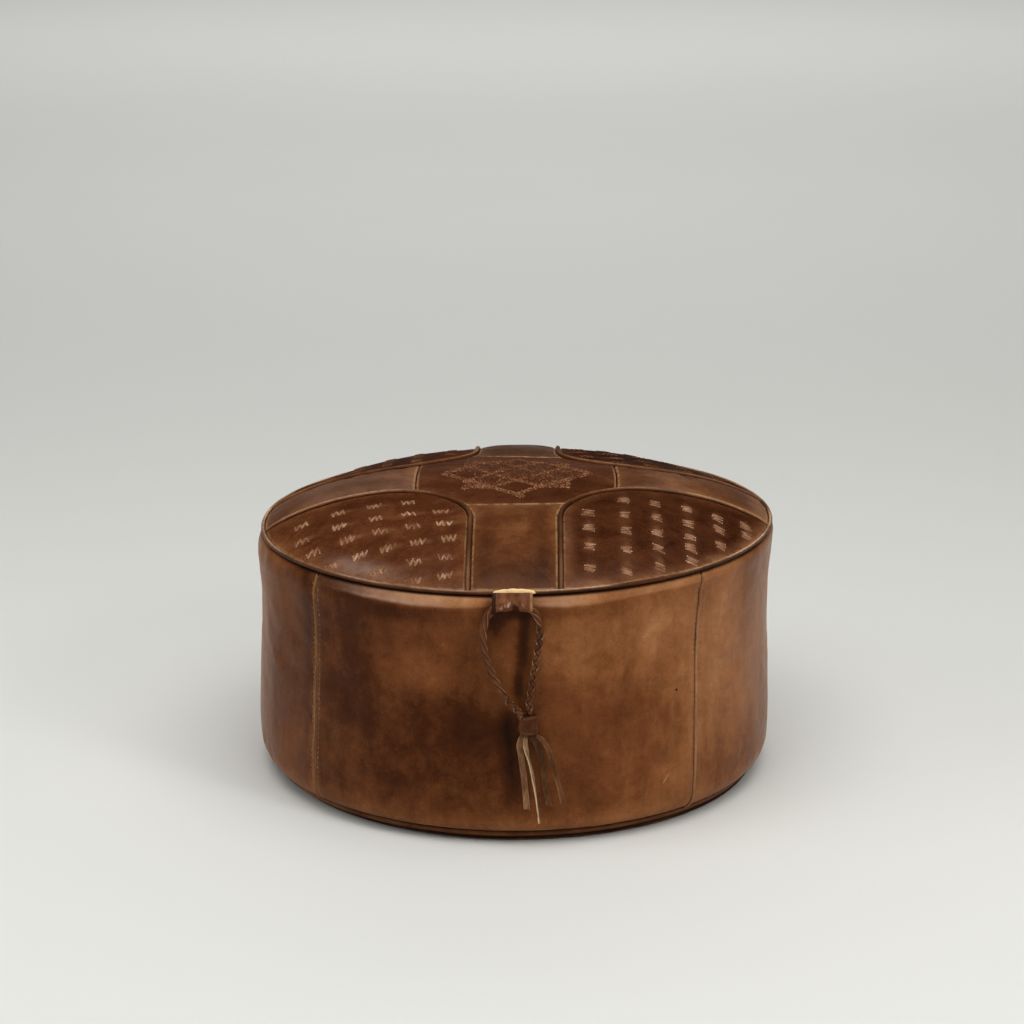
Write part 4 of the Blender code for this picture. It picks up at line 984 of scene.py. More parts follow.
def panel(name, runs, k, finish, node, puff, swell, seed, extra=None, tuck=0.0):
    """One leather panel of the top, held at its seams, with turned-under edges."""
    outline = rot90(joined(runs, 0.0021), k)
    n = len(outline)
    c = outline.mean(0)
    rad = np.linalg.norm(outline - c, axis=1).mean()
    cuts = [1 - d / 1000 / rad for d in EDGE_MM if d / 1000 < 0.7 * rad]
    rest = max(4, int(cuts[-1] * rad / 0.0042))
    cuts += [cuts[-1] * (1 - i / rest) for i in range(1, rest)]
    xy = np.concatenate([c + (outline - c) * s for s in cuts] + [c[None]])
    m = len(cuts)
    dist = to_outline(xy, outline)
    dist[:n] = 0
    x, y = xy[:, 0], xy[:, 1]
    z = dome(x, y) + puff * (1 - np.exp(-dist / 0.013))
    v = np.stack([x, y, z], 1)
    faces = [quads(m, n, False, True)[:, ::-1]]
    faces += [((m - 1) * n + j, (m - 1) * n + (j + 1) % n, m * n) for j in range(n)]
    if swell:
        # a coarser cloth of the same cut; its swelling is carried over to the fine panel
        ia = np.linspace(0, n, 73)[:-1].astype(int)
        sc = np.linspace(1.0, 0.08, 13)
        grid = np.stack([c + (outline[ia] - c) * q for q in sc]).reshape(-1, 2)
        cd = to_outline(grid, outline)
        cv = np.c_[grid, dome(grid[:, 0], grid[:, 1]) + puff * (1 - np.exp(-cd / 0.013))]
        hub = len(cv)
        cv = np.vstack([cv, [(*c, cv[-len(ia):, 2].mean())]])
        cf = [quads(13, len(ia), False, True)[:, ::-1], np.array([(12 * len(ia) + q, 12 * len(ia) + (q + 1) % len(ia), hub) for q in range(len(ia))])]
        up = drape("fit_" + name, cv, cf, np.arange(len(ia)), swell, 0.004, 0.0022)
        push = (up - cv)[:, 2]
        push = np.vstack([push[:hub].reshape(13, -1), np.full((1, len(ia)), push[:hub].reshape(13, -1)[-1].mean())])
        at_s = np.r_[sc, 0.0][::-1]
        wrap = np.r_[ia, n]
        full = np.stack([np.interp(np.arange(n), wrap, np.r_[row, row[0]]) for row in push])[::-1]
        col = np.stack([np.interp(cuts, at_s, full[:, q]) for q in range(n)], 1)
        v[:, 2] += np.r_[col.ravel(), full[0].mean()]
    p3 = np.stack([x, y, 0 * x], 1)
    v[:, 2] += 0.00045 * fbm(p3, 26, seed, 3) * smooth(dist / 0.012)
    # gathers that run in from the sewn edge
    along = np.arctan2(y - c[1], x - c[0])
    pk = vnoise(np.stack([np.cos(along) * 9, np.sin(along) * 9, 0 * along], 1), 1.0, seed + 5)
    v[:, 2] += 0.00022 * pk * np.exp(-((dist - 0.006) / 0.005) ** 2)
    v[:, 2] -= 0.0013 * np.exp(-dist / 0.0008) + 0.0006 * np.exp(-dist / 0.004)
    under = v.copy()
    under[:, 2] -= PANEL_T
    count = len(v)
    allv = lean(np.concatenate([v, under]))
    fl = [np.asarray(faces[0]), np.array(faces[1:])]
    fl += [fl[0][:, ::-1] + count, fl[1][:, ::-1] + count]
    fl.append(np.stack([np.arange(n), (np.arange(n) + 1) % n, (np.arange(n) + 1) % n + count, np.arange(n) + count], 1))
    at = {"edge": np.r_[dist * 1000 + tuck, dist * 0 + 30.0], "pat": np.full(2 * count, SHADE.get(name, 0.0)), "wear_and_highlight": np.zeros(2 * count), "painted_sheen": np.zeros(2 * count)}
    if name == "cover_strip_right":
        at["pat"][:count] += 0.01 + 0.05 * smooth((x - 0.130) / 0.04) + 0.08 * np.exp(-((x - 0.155) / 0.020) ** 2) + 0.14 * smooth((x - 0.230) / 0.02)
        at["painted_sheen"][:count] = 0.04 + 0.06 * np.exp(-((x - 0.155) / 0.025) ** 2) + 0.10 * smooth((x - 0.230) / 0.02) + 0.03 * vnoise(p3 * (1, 3, 1), 30, 91)
    if name == "cover_strip_left":
        at["pat"][:count] += 0.06 * smooth((x + 0.150) / 0.03) - 0.02 - 0.06 * smooth((-0.215 - x) / 0.02)
        at["painted_sheen"][:count] = (0.15 + 0.05 * vnoise(p3 * (1, 3, 1), 30, 92)) * (1 - 0.7 * smooth((-0.205 - x) / 0.025))
    if name == "cover_strip_front":
        at["pat"][:count] += (0.035 - 0.15 * np.exp(-((x - 0.029) / 0.014) ** 2 - ((y + 0.222) / 0.045) ** 2) - 0.12 * np.exp(-((x + 0.032) / 0.012) ** 2 - ((y + 0.150) / 0.050) ** 2)
                              - 0.13 * np.exp(-((x + 0.030) / 0.013) ** 2 - ((y + 0.225) / 0.030) ** 2) + 0.05 * np.exp(-((x + 0.008) / 0.018) ** 2 - ((y + 0.165) / 0.045) ** 2)
                              - 0.08 * np.exp(-((x - 0.026) / 0.009) ** 2 - ((y + 0.150) / 0.018) ** 2) - 0.04 * smooth((-0.210 - y) / 0.030))
    if name == "cover_strip_rear":
        at["pat"][:count] -= 0.03
        at["painted_sheen"][:count] = 0.08
    if name == "cover_centre":
        at["painted_sheen"][:count] = 0.055 * smooth((y + 0.030) / 0.060)
    if extra:
        extra(at, x, y, dist, count)
    ob = outward(make(name, allv, fl, finish, at))
    keep(ob, "pouf", [node])
    tri = [tuple(f) for f in fl[0].tolist()] + [tuple(f) for f in fl[1].tolist()]
    TOP_TREES[node] = BVHTree.FromPolygons([tuple(q) for q in allv[:count]], tri)
    return ob


MOTIF_L = {-83: (-215, -178, -142, -108), -117: (-212, -174, -138, -106, -74), -148: (-198, -164, -132, -100, -69),
           -181: (-177, -150, -123, -94, -64), -210: (-132, -96, -66), -235: (-96, -66)}
MOTIF_R = {71.5: (-125, -161, -195, -227), 107: (-85, -126, -160, -193, -222), 138.5: (-87, -123, -154, -181, -206),
           170.5: (-88, -122, -148, -165, -183), 201: (-90, -114, -142), 230: (-83, -101)}


def motif_spots(k):
    """Places of the small stitched motifs on petal k (0 is front right)."""
    if k % 2 == 0:
        pts = np.array([(x, y) for x, ys in MOTIF_R.items() for y in ys], float) / 1000
        return rot90(pts, k)
    pts = np.array([(x, y) for y, xs in MOTIF_L.items() for x in xs], float) / 1000
    return rot90(pts, k - 3)


def worn_and_lit(k):
    spots = motif_spots(k)
    line = rot90(np.array([(0.0, 1.0)]) if k % 2 == 0 else np.array([(1.0, 0.0)]), k if k % 2 == 0 else k - 3)[0]

    def fill(at, x, y, dist, count):
        wear_and_highlight = np.zeros(len(x))
        for i, (sx, sy) in enumerate(spots):
            dx, dy = x - sx, y - sy
            a = dx * line[0] + dy * line[1]
            b = dx * line[1] - dy * line[0]
            w = 0.30 * np.exp(-(b / 0.0052) ** 2) * np.exp(-(a / 0.0078) ** 2)
            tail = 0.20 * np.exp(-(b / 0.0032) ** 2) * np.exp(-((a - 0.011) / 0.0065) ** 2)
            wear_and_highlight = np.maximum(wear_and_highlight, w + (tail if (i * 7 + k) % 3 else 0) * (1 if k % 2 else 0.8))
        if k % 2 == 0:
            for cx in (0, 1, 2, 3):
                sp = spots[[(4, 9, 14, 16)[cx]]][0]
                b = (x - sp[0]) * line[1] - (y - sp[1]) * line[0]
                wear_and_highlight = np.maximum(wear_and_highlight, 0.19 * np.exp(-(b / 0.0060) ** 2) * (0.5 + 0.5 * vnoise(np.stack([x, y, 0 * x], 1), 22, 60 + k)))
        rho, az = np.hypot(x, y), np.degrees(np.arctan2(x, -y))
        ragged = 0.6 + 0.5 * vnoise(np.stack([x, y, 0 * x], 1), 45, 64 + k)
        if k == 3:
            at["painted_sheen"][:count] = 0.42 * np.exp(-((rho - 0.248) / 0.009) ** 2) * np.exp(-((az + 37) / 9) ** 2)
            wear_and_highlight = wear_and_highlight + 0.22 * ragged * np.exp(-((rho - 0.256) / 0.008) ** 2) * np.exp(-((az + 26) / 11) ** 2)
        if k == 0:
            wear_and_highlight = wear_and_highlight + 0.34 * ragged * np.exp(-(dist / 0.0085) ** 2) * smooth((0.105 - x) / 0.03)
            wear_and_highlight = wear_and_highlight + 0.55 * ragged * np.exp(-((rho - 0.258) / 0.006) ** 2) * smooth((az - 9) / 8)
        at["wear_and_highlight"][:count] = np.clip(wear_and_highlight, 0, 0.50)
    return fill


OFF = PETAL_PIPE + 0.0003
for k, nm in enumerate(NAMES):
    panel("cover_petal_" + nm, petal_runs(OFF - 0.0006), k, M["petal" if k in (0, 3) else "petal_rear"], "petal_" + nm, 0.0018, 6.0, 40 + k, worn_and_lit(k), 0.45)
for k, nm in enumerate(SIDES):
    panel("cover_strip_" + nm, spoke_runs(OFF - 0.0003, 0.00025), k, M["strip"], "top_strip_" + nm, 0.0012, 4.0, 60 + k)
panel("cover_centre", centre_runs(OFF - 0.0003, 0.00025), 0, M["centre"], "centre_panel", 0.0004, 2.0, 80)


# ------------------------------------------------------------------ pipings
def piping(name, path, radius, node, closed=False, seed=0, tone=0.0, first=(0, 0, 1), sides=14, bump=None, finish="pipe", crest_wear_and_highlight=0.3, crest=4.0, painted_sheen=0.0):
    path = np.asarray(path, float)
    s = np.r_[0, np.cumsum(np.linalg.norm(np.diff(path, axis=0), axis=1))]
    r = radius * (1 + 0.05 * vnoise(path, 55, seed) + 0.035 * np.sin(s / 0.0052 * TAU + 3 * vnoise(path, 30, seed + 1)))
    if bump is not None:
        r = r * bump
    v, f = tube(path, r, sides, first, closed)
    v = v.reshape(-1, 3)
    a = np.arange(sides) / sides * TAU
    top = np.tile(np.clip(np.cos(a), 0, 1), len(path))
    side = np.tile(np.clip(-np.cos(a), 0, 1), len(path))
    crest, crest_wear_and_highlight, tone = (np.repeat(q, sides) if np.size(q) == len(path) else q for q in (crest, crest_wear_and_highlight, tone))
    # the crest is paler, partly wear and partly a painted highlight; the side away from first, the underside, gets
    # painted shade and a darker tone
    wear_and_highlight = top ** crest * crest_wear_and_highlight * np.clip(0.62 + 0.9 * np.repeat(vnoise(path, 24, seed + 9), sides), 0, 1)
    ob = make(name, lean(v), f, M[finish], {"pat": tone + 0.08 * np.repeat(vnoise(path, 18, seed + 3), sides) - 0.18 * side,
                                           "wear_and_highlight": wear_and_highlight, "edge": np.full(len(v), 30.0), "painted_shade": 0.55 * side ** 2,
                                           "painted_sheen": np.repeat(np.broadcast_to(painted_sheen, len(path)), sides) * top})
    outward(ob)
    return keep(ob, "pouf", [node])


for k, nm in enumerate(NAMES):
    runs = petal_runs(0.0)[:3]
    p = np.concatenate([even(r, 0.0014)[:-1] for r in runs[:2]] + [even(runs[2], 0.0014)])
    p = rot90(p, k)
    z = dome(p[:, 0], p[:, 1]) + 0.0002
    end = np.minimum(np.arange(len(p)), np.arange(len(p))[::-1]) * 0.0014
    z = z - 0.0016 * (1 - smooth(end / 0.010))
    # most worn along the side strips, where hands take hold, with a wider pale crest and a painted sheen there
    worn = smooth((np.abs(p[:, 0]) - 0.080) / 0.050) * (p[:, 1] < 0)
    # darkest between the front strip and its petals, but for the ends at the rim
    kept = smooth((0.090 - np.abs(p[:, 0])) / 0.040) * (p[:, 1] < 0) * (1 - 0.55 * smooth((-0.205 - p[:, 1]) / 0.030))
    piping("cover_welt_" + nm, np.c_[p, z], PETAL_PIPE * 0.98, "petal_piping_" + nm, False, 100 + 7 * k, -0.13 - 0.12 * kept,
           crest_wear_and_highlight=0.90 + 0.40 * worn - 0.72 * kept, crest=5.0 - 2.6 * worn, painted_sheen=0.13 * worn)

gap = math.degrees((TAB_HALF + 0.0032) / RIM_R)
deg = np.linspace(gap, 360 - gap, 1150)
join = np.exp(-((deg - 32.4) / 0.55) ** 2)
piping("cover_rim_piping", pol(RIM_R + 0.0002 * np.sin(np.radians(deg * 9)), deg, RIM_Z + 0.00025 * np.sin(np.radians(deg * 7 + 40))),
       RIM_PIPE, "rim_piping", False, 150, -0.06, crest_wear_and_highlight=1.15, crest=3.4, finish="rim", bump=1 + 0.22 * join - 0.30 * np.exp(-((deg - 33.6) / 0.25) ** 2))
deg = np.linspace(0, 360, 1000, endpoint=False)
piping("cover_base_piping", pol(BASE_R, deg, np.full(1000, BASE_Z)), BASE_PIPE, "base_piping", True, 170, 0.06, crest_wear_and_highlight=0.10)


def build_fold():
    """Raw edge of the strap, opened out in the rim above the sleeve."""
    ns, n = 45, 18
    v, painted_shade, pat = [], [], []
    for i in range(ns):
        u = -1 + 2 * i / (ns - 1)
        d = math.degrees(u * (TAB_HALF + 0.0032) / RIM_R)
        fat = 0.16 + 0.90 * max(0.0, 1 - u * u) ** 0.75
        for j in range(n):
            a = TAU * j / n
            rr = RIM_R - 0.0002 + 0.0030 * math.cos(a) * (0.75 + 0.25 * fat) + 0.00018 * math.sin(9 * u + 3 * a)
            zz = RIM_Z + 0.0002 + 0.0038 * fat * math.sin(a) + 0.00016 * math.sin(14 * u - 2 * a)
            v.append(pol(rr, d, zz))
            # painted light and shade: the upper face of the fold is lighter, its underside darker, and darker again
            # where its ends meet the rim piping
            painted_shade.append(0.8 * max(0.0, abs(u) - 0.90) / 0.10 + 0.4 * max(0.0, -math.sin(a) - 0.2) ** 2)
            pat.append(0.46 + 0.12 * math.sin(a) - 0.06 * abs(u))
    ob = make("cover_rim_fold", lean(np.array(v)), [quads(ns, n, False, True), tuple(range(n))[::-1], tuple((ns - 1) * n + i for i in range(n))],
              M["raw"], {"painted_shade": np.clip(painted_shade, 0, 1), "pat": pat})
    keep(outward(ob), "pouf", ["rim_fold"])
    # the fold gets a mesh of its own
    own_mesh(ob)
    return ob


build_fold()


# ------------------------------------------------------------------ wall
# soft patches, partly wear and tone, partly painted light and shade (a lit right side, a shaded left side, a band under
# the rim, the shadows of the loop): (angle, height, width in degrees, height in metres, lighter or darker)
WALL_TONE_AND_PAINTED_LIGHT = [(46, 0.150, 26, 0.150, 0.14), (-44, 0.150, 13, 0.150, -0.19), (-22, 0.075, 14, 0.040, -0.10), (30, 0.205, 12, 0.030, 0.10),
          (-13, 0.190, 5, 0.025, -0.10), (15, 0.200, 6, 0.045, 0.08), (-16, 0.170, 5, 0.025, 0.10), (-19, 0.130, 9, 0.028, -0.17),
          (-33, 0.130, 7, 0.028, -0.12), (24, 0.125, 8, 0.022, -0.06), (-5, 0.108, 6, 0.030, -0.12), (4, 0.060, 9, 0.040, -0.06),
          (27, 0.060, 9, 0.035, 0.03), (52, 0.175, 7, 0.065, 0.18), (62, 0.110, 9, 0.060, 0.06), (-49, 0.140, 4, 0.100, -0.10),
          (-62, 0.130, 9, 0.080, -0.08), (34, 0.215, 8, 0.020, 0.08), (-3, 0.215, 5, 0.020, -0.08), (-22, 0.2305, 14, 0.008, -0.18), (-4.6, 0.2440, 2.2, 0.006, -0.22), (-18, 0.208, 7, 0.018, -0.08), (-36, 0.205, 6, 0.035, -0.22), (-33, 0.165, 5, 0.025, -0.10), (-38, 0.150, 5, 0.050, -0.06),
          (-37, 0.244, 6, 0.008, -0.14), (-48, 0.246, 6, 0.008, -0.08), (-18, 0.085, 8, 0.028, -0.05), (27, 0.087, 7, 0.018, -0.07),
          (38, 0.070, 6, 0.030, 0.05), (-7, 0.090, 8, 0.060, -0.12), (-3, 0.052, 4, 0.025, -0.07), (13.5, 0.186, 4, 0.025, 0.09),
          (6.3, 0.198, 2.0, 0.025, 0.13), (16, 0.062, 6, 0.025, -0.10), (32, 0.136, 4, 0.030, -0.07), (-3, 0.188, 1.6, 0.030, -0.06), (-25, 0.202, 6, 0.022, -0.10), (-28, 0.075, 8, 0.040, -0.07), (18, 0.184, 5, 0.018, -0.06), (9.5, 0.2335, 7, 0.006, -0.10), (-9, 0.125, 5, 0.028, -0.07),
          (-2, 0.146, 2.2, 0.016, 0.06), (6.5, 0.084, 3, 0.028, 0.06), (10, 0.150, 4, 0.030, 0.05), (0, 0.022, 30, 0.006, 0.05),
          # partly grime where the loop and its tassel rest, partly a painted shadow of the loop, its sleeve and its
          # tassel; it stays when the loop is lifted
          (2.6, 0.222, 1.3, 0.016, -0.30), (2.2, 0.196, 1.2, 0.018, -0.34), (1.4, 0.166, 1.1, 0.016, -0.34), (0.2, 0.2360, 3.2, 0.0065, -0.30),
          (-3.4, 0.224, 1.7, 0.011, -0.26), (-5.5, 0.231, 2.6, 0.008, -0.12), (-0.9, 0.118, 1.9, 0.024, -0.22), (-0.2, 0.078, 1.5, 0.034, -0.18),
          (-11, 0.120, 13, 0.100, -0.045), (-18.5, 0.190, 5, 0.040, 0.05), (11.3, 0.052, 4, 0.020, 0.10), (-3, 0.110, 3, 0.05, -0.02),
          (120, 0.160, 12, 0.05, 0.08), (200, 0.11, 14, 0.05, -0.08), (160, 0.19, 10, 0.03, 0.06), (245, 0.15, 12, 0.05, 0.07),
          (95, 0.09, 10, 0.04, -0.08), (140, 0.07, 12, 0.03, -0.06), (180, 0.2455, 20, 0.004, 0.18), (270, 0.10, 10, 0.05, -0.08)]
WALL_TREES = {}


def seam_deg(k, z):
    """The seams lean a little: the cover is twisted on its filling."""
    return SEAM_DEG + 90 * k + 0.62 * (2 * z / 0.25 - 1)


def wall_tone_and_painted_light(d, z):
    out = np.zeros(np.shape(d))
    for a, h, wa, wh, val in WALL_TONE_AND_PAINTED_LIGHT:
        da = (d - a + 180) % 360 - 180
        out = out + val * np.exp(-(da / wa) ** 2 - ((z - h) / wh) ** 2)
    return out


def wall_panel(k):
    nm = SIDES[k]
    z0, z1 = WALL_PROFILE[0, 0], WALL_PROFILE[-1, 0]
    lo = np.r_[0, 0.0006, 0.0013, 0.0021, 0.0032]
    zs = np.r_[z0 + lo, np.linspace(z0 + 0.0050, 0.2354, 84), np.arange(0.2361, z1 - 0.0036, 0.0007), (z1 - lo)[::-1]]
    side = np.r_[0, 0.0006, 0.0013, 0.0021, 0.0032, 0.0048] / R
    half = SEAM_PIPE - 0.0006
    nz = len(zs)
    inner = np.linspace(0, 1, 170)
    a0 = np.radians(seam_deg(k - 1, zs)) + half / R
    a1 = np.radians(seam_deg(k, zs)) - half / R
    cols = [a0 + s for s in side] + [a0 + side[-1] + (a1 - a0 - 2 * side[-1]) * t for t in inner[1:-1]] + [a1 - s for s in side[::-1]]
    A = np.array(cols)
    na = len(cols)
    Z = np.broadcast_to(zs, (na, nz)).copy()
    d_side = np.minimum(A - a0[None], a1[None] - A) * R
    d_top, d_low = z1 - Z, Z - z0
    rad = np.broadcast_to(wall_r(zs), (na, nz)).copy() + 0.0009 * smooth(np.minimum(d_top, d_low) / 0.05)
    # coarse cloth between the sewn edges, pressed out by the filling
    ca, cz = 58, 34
    ta, tz = np.linspace(0, 1, ca), np.linspace(z0, z1, cz)
    ga = np.radians(seam_deg(k - 1, tz))[None] + (np.radians(seam_deg(k, tz)) - np.radians(seam_deg(k - 1, tz)))[None] * ta[:, None]
    gz = np.broadcast_to(tz, (ca, cz))
    gr = np.broadcast_to(wall_r(tz) - 0.0006, (ca, cz))
    cv = pol(gr, np.degrees(ga), gz).reshape(-1, 3)
    idx = np.arange(ca * cz).reshape(ca, cz)
    pins = np.unique(np.r_[idx[0], idx[-1], idx[:, 0], idx[:, -1]])
    out = drape("fit_wall_" + nm, cv, [quads(ca, cz)], pins, 3.0, 0.004, 0.0030)
    push = (np.hypot(out[:, 0], out[:, 1]) - np.hypot(cv[:, 0], cv[:, 1])).reshape(ca, cz)
    push = push - push[5:-5, 5:-5].mean() * 0.75
    u = np.clip((A - np.radians(seam_deg(k - 1, zs))[None]) / (np.radians(seam_deg(k, zs)) - np.radians(seam_deg(k - 1, zs)))[None], 0, 1) * (ca - 1)
    w = (Z - z0) / (z1 - z0) * (cz - 1)
    i, j = np.clip(u.astype(int), 0, ca - 2), np.clip(w.astype(int), 0, cz - 2)
    fu, fw = u - i, w - j
    rad += ((push[i, j] * (1 - fu) + push[i + 1, j] * fu) * (1 - fw) + (push[i, j + 1] * (1 - fu) + push[i + 1, j + 1] * fu) * fw) * smooth(d_side / 0.03) * smooth(d_low / 0.03)
    P = pol(rad, np.degrees(A), Z).reshape(-1, 3)
    flat = P * (1, 1, 0.55)
    amp = smooth(np.minimum(d_top, d_low) / 0.020).ravel()
    bumpy = 0.00075 * fbm(flat, 15, 200 + k, 3) * amp + 0.00022 * fbm(P, 60, 230 + k, 2) * amp
    # gathers below the rim, above the base and beside the seams
    run = np.stack([np.cos(A.ravel()) * 16, np.sin(A.ravel()) * 16, 0 * A.ravel()], 1)
    bumpy += 0.00075 * vnoise(run, 1.0, 251) * np.exp(-((d_top.ravel() - 0.009) / 0.010) ** 2)
    bumpy += 0.00050 * vnoise(run, 1.3, 252) * np.exp(-((d_low.ravel() - 0.012) / 0.010) ** 2)
    up = np.stack([0 * Z.ravel(), 0 * Z.ravel(), Z.ravel() * 75], 1)
    bumpy += 0.00040 * vnoise(up, 1.0, 260 + k) * np.exp(-((d_side.ravel() - 0.007) / 0.006) ** 2)
    bumpy -= 0.0004 * np.exp(-d_side.ravel() / 0.0008) + 0.0006 * np.exp(-d_side.ravel() / 0.006)
    bumpy -= 0.0016 * np.exp(-d_low.ravel() / 0.0010)
    rad = rad + bumpy.reshape(na, nz)
    outer = pol(rad, np.degrees(A), Z)
    innr = pol(rad - WALL_T, np.degrees(A), Z)
    n = na * nz
    rim = ([(i, 0) for i in range(na)] + [(na - 1, j) for j in range(1, nz)] + [(i, nz - 1) for i in range(na - 2, -1, -1)]
           + [(0, j) for j in range(nz - 2, 0, -1)])
    e = [i * nz + j for i, j in rim]
    faces = [quads(na, nz), quads(na, nz, base=n, flip=True),
             np.array([(e[i], e[(i + 1) % len(e)], e[(i + 1) % len(e)] + n, e[i] + n) for i in range(len(e))])]
    v = lean(np.concatenate([outer.reshape(-1, 3), innr.reshape(-1, 3)]))
    edge = np.minimum(d_side + 0.00065, np.minimum(d_low, 0.03) + 0.0004).ravel() * 1000
    D = np.degrees(A).ravel()
    zz = Z.ravel()
    pat = wall_tone_and_painted_light(D, zz) + 0.07 * np.exp(-((zz - 0.024) / 0.010) ** 2) 
    pat = pat + 0.05 * vnoise(np.stack([D * 0.09, zz * 6, 0 * D], 1), 1.0, 280)
    # painted shade in the crevice under the rim piping and in the crevice above the base piping
    painted_shade = 0.80 * smooth((zz - 0.2497) / 0.0018) + 0.75 * (1 - smooth((zz - z0) / 0.0024))
    wear_and_highlight = 0.13 * np.exp(-((d_side.ravel() - 0.0045) / 0.0022) ** 2) * np.clip(0.5 + 0.9 * vnoise(up, 0.9, 290 + k), 0, 1)
    # painted light: the shoulder under the rim is painted pale, as if lit from above, down to a fairly sharp lower
    # edge, with a painted highlight line on it and painted shade just below
    low_edge = 0.2436 - 0.0034 * np.exp(-((D + 22) / 13) ** 2) - 0.0022 * np.exp(-((D - 12) / 10) ** 2) + 0.0007 * np.sin(D * 0.22 + 1.0) + 0.0005 * vnoise(np.stack([D * 0.35, 0 * D, 0 * D], 1), 1.0, 281)
    lit = (1 - smooth((zz - 0.2502) / 0.0014)) / (1 + np.exp(-(zz - low_edge) / 0.0006))
    pat = pat + lit * (0.05 + 0.27 * np.exp(-((D + 20) / 15) ** 2) + 0.22 * np.exp(-((D - 11) / 9) ** 2) + 0.12 * np.exp(-((D - 34) / 12) ** 2)
                       + 0.14 * np.exp(-((D - 180) / 25) ** 2) - 0.05 * np.exp(-((D + 42) / 6) ** 2))
    pat = pat - 0.10 * np.exp(-((zz - low_edge + 0.0045) / 0.0040) ** 2) * np.exp(-((D + 19) / 15) ** 2)
    glint = np.exp(-((zz - low_edge - 0.0016) / 0.0016) ** 2) * np.clip(0.7 + 0.6 * vnoise(np.stack([D * 0.8, 0 * D, zz * 300], 1), 1.0, 283), 0, 1)
    wear_and_highlight = wear_and_highlight + glint * (0.85 * np.exp(-((D + 26) / 9) ** 2) + 0.35 * np.exp(-((D - 8) / 4) ** 2) + 0.15 * np.exp(-((D - 30) / 7) ** 2))
    wear_and_highlight = wear_and_highlight + 0.20 * lit * (np.exp(-((D + 20) / 11) ** 2) + np.exp(-((D - 8) / 4) ** 2))
    # painted sheen: pale streaks and a grey reflection down the far left and far right sides, and a grey reflection on
    # the lit shoulder
    wear_and_highlight = wear_and_highlight + 0.16 * np.exp(-((D + 68) / 8) ** 2 - ((zz - 0.215) / 0.035) ** 2) + 0.12 * np.exp(-((D - 70) / 8) ** 2 - ((zz - 0.19) / 0.06) ** 2)
    painted_sheen = (0.14 * np.exp(-((D - 62) / 14) ** 2) + 0.18 * np.exp(-((D + 67) / 14) ** 2)) * np.exp(-((zz - 0.165) / 0.09) ** 2)
    painted_sheen = painted_sheen + lit * (0.34 * np.exp(-((D + 27) / 11) ** 2) + 0.16 * np.exp(-((D - 10) / 7) ** 2) + 0.08 * np.exp(-((D - 36) / 10) ** 2))
    pad = np.zeros(n)
    ob = make("cover_wall_" + nm, v, faces, M["wall"], {"edge": np.r_[edge, pad + 30], "pat": np.r_[pat, pad - 0.2], "painted_shade": np.r_[painted_shade, pad], "wear_and_highlight": np.r_[wear_and_highlight, pad], "painted_sheen": np.r_[painted_sheen, pad]})
    outward(ob)
    keep(ob, "pouf", ["wall_panel_" + nm])
    WALL_TREES[k] = BVHTree.FromPolygons([tuple(q) for q in v[:n]], [tuple(f) for f in faces[0].tolist()])


for k in range(4):
    wall_panel(k)


# ------------------------------------------------------------------ stitches
def stitches(name, a, b, up, radius, finish, pat, arch=0.30, nodes=()):
    """Short lengths of thread from a to b that bite into the leather at both ends."""
    a, b, up = np.asarray(a), np.asarray(b), np.asarray(up)
    N = len(a)
    t = np.array([0.0, 0.16, 0.5, 0.84, 1.0])
    w = np.array([0.45, 0.92, 1.0, 0.92, 0.45])
    h = np.array([-0.9, 0.25, arch, 0.25, -0.9])
    sides = 7
    ang = np.arange(sides) / sides * TAU
    d = unit(b - a)
    up = unit(up - d * (up * d).sum(1, keepdims=True))
    s = np.cross(d, up)
    rad = np.broadcast_to(np.asarray(radius, float), (N,))
    mid = a[:, None, :] + (b - a)[:, None, :] * t[None, :, None] + (rad[:, None] * h[None])[..., None] * up[:, None, :]
    ring = mid[:, :, None, :] + (rad[:, None] * w[None])[..., None, None] * (
        np.cos(ang)[None, None, :, None] * up[:, None, None, :] * 0.6 + np.sin(ang)[None, None, :, None] * s[:, None, None, :])
    K = 5 * sides
    q = quads(5, sides, False, True)
    faces = [(q[None] + (np.arange(N) * K)[:, None, None]).reshape(-1, 4)]
    caps = np.array([list(range(sides))[::-1], [4 * sides + i for i in range(sides)]])
    faces.append((caps[None] + (np.arange(N) * K)[:, None, None]).reshape(-1, sides))
    ob = make(name, ring.reshape(-1, 3), faces, M[finish], {"pat": np.repeat(pat, K)})
    outward(ob)
    return keep(ob, "pouf", nodes)


rng = np.random.default_rng(7)


def land(tree, xy):
    hit = tree.ray_cast(Vector((xy[0], xy[1], 0.6)), Vector((0, 0, -1)))
    return None if hit[0] is None else (np.array(hit[0]), np.array(hit[1]))


def sew(name, tree, segs, radius, finish):
    """Stitches on the top, from a list of (x0, y0, x1, y1, tone)."""
    A, B, U, P = [], [], [], []
    for x0, y0, x1, y1, tone in segs:
        p, q = land(tree, (x0, y0)), land(tree, (x1, y1))
        if p is None or q is None:
            continue
        A.append(p[0]); B.append(q[0]); P.append(tone)
        n = p[1] + q[1]
        U.append(n if n[2] > 0 else -n)
    return stitches(name, A, B, U, radius * (0.85 + 0.3 * rng.random(len(A))), finish, np.array(P))


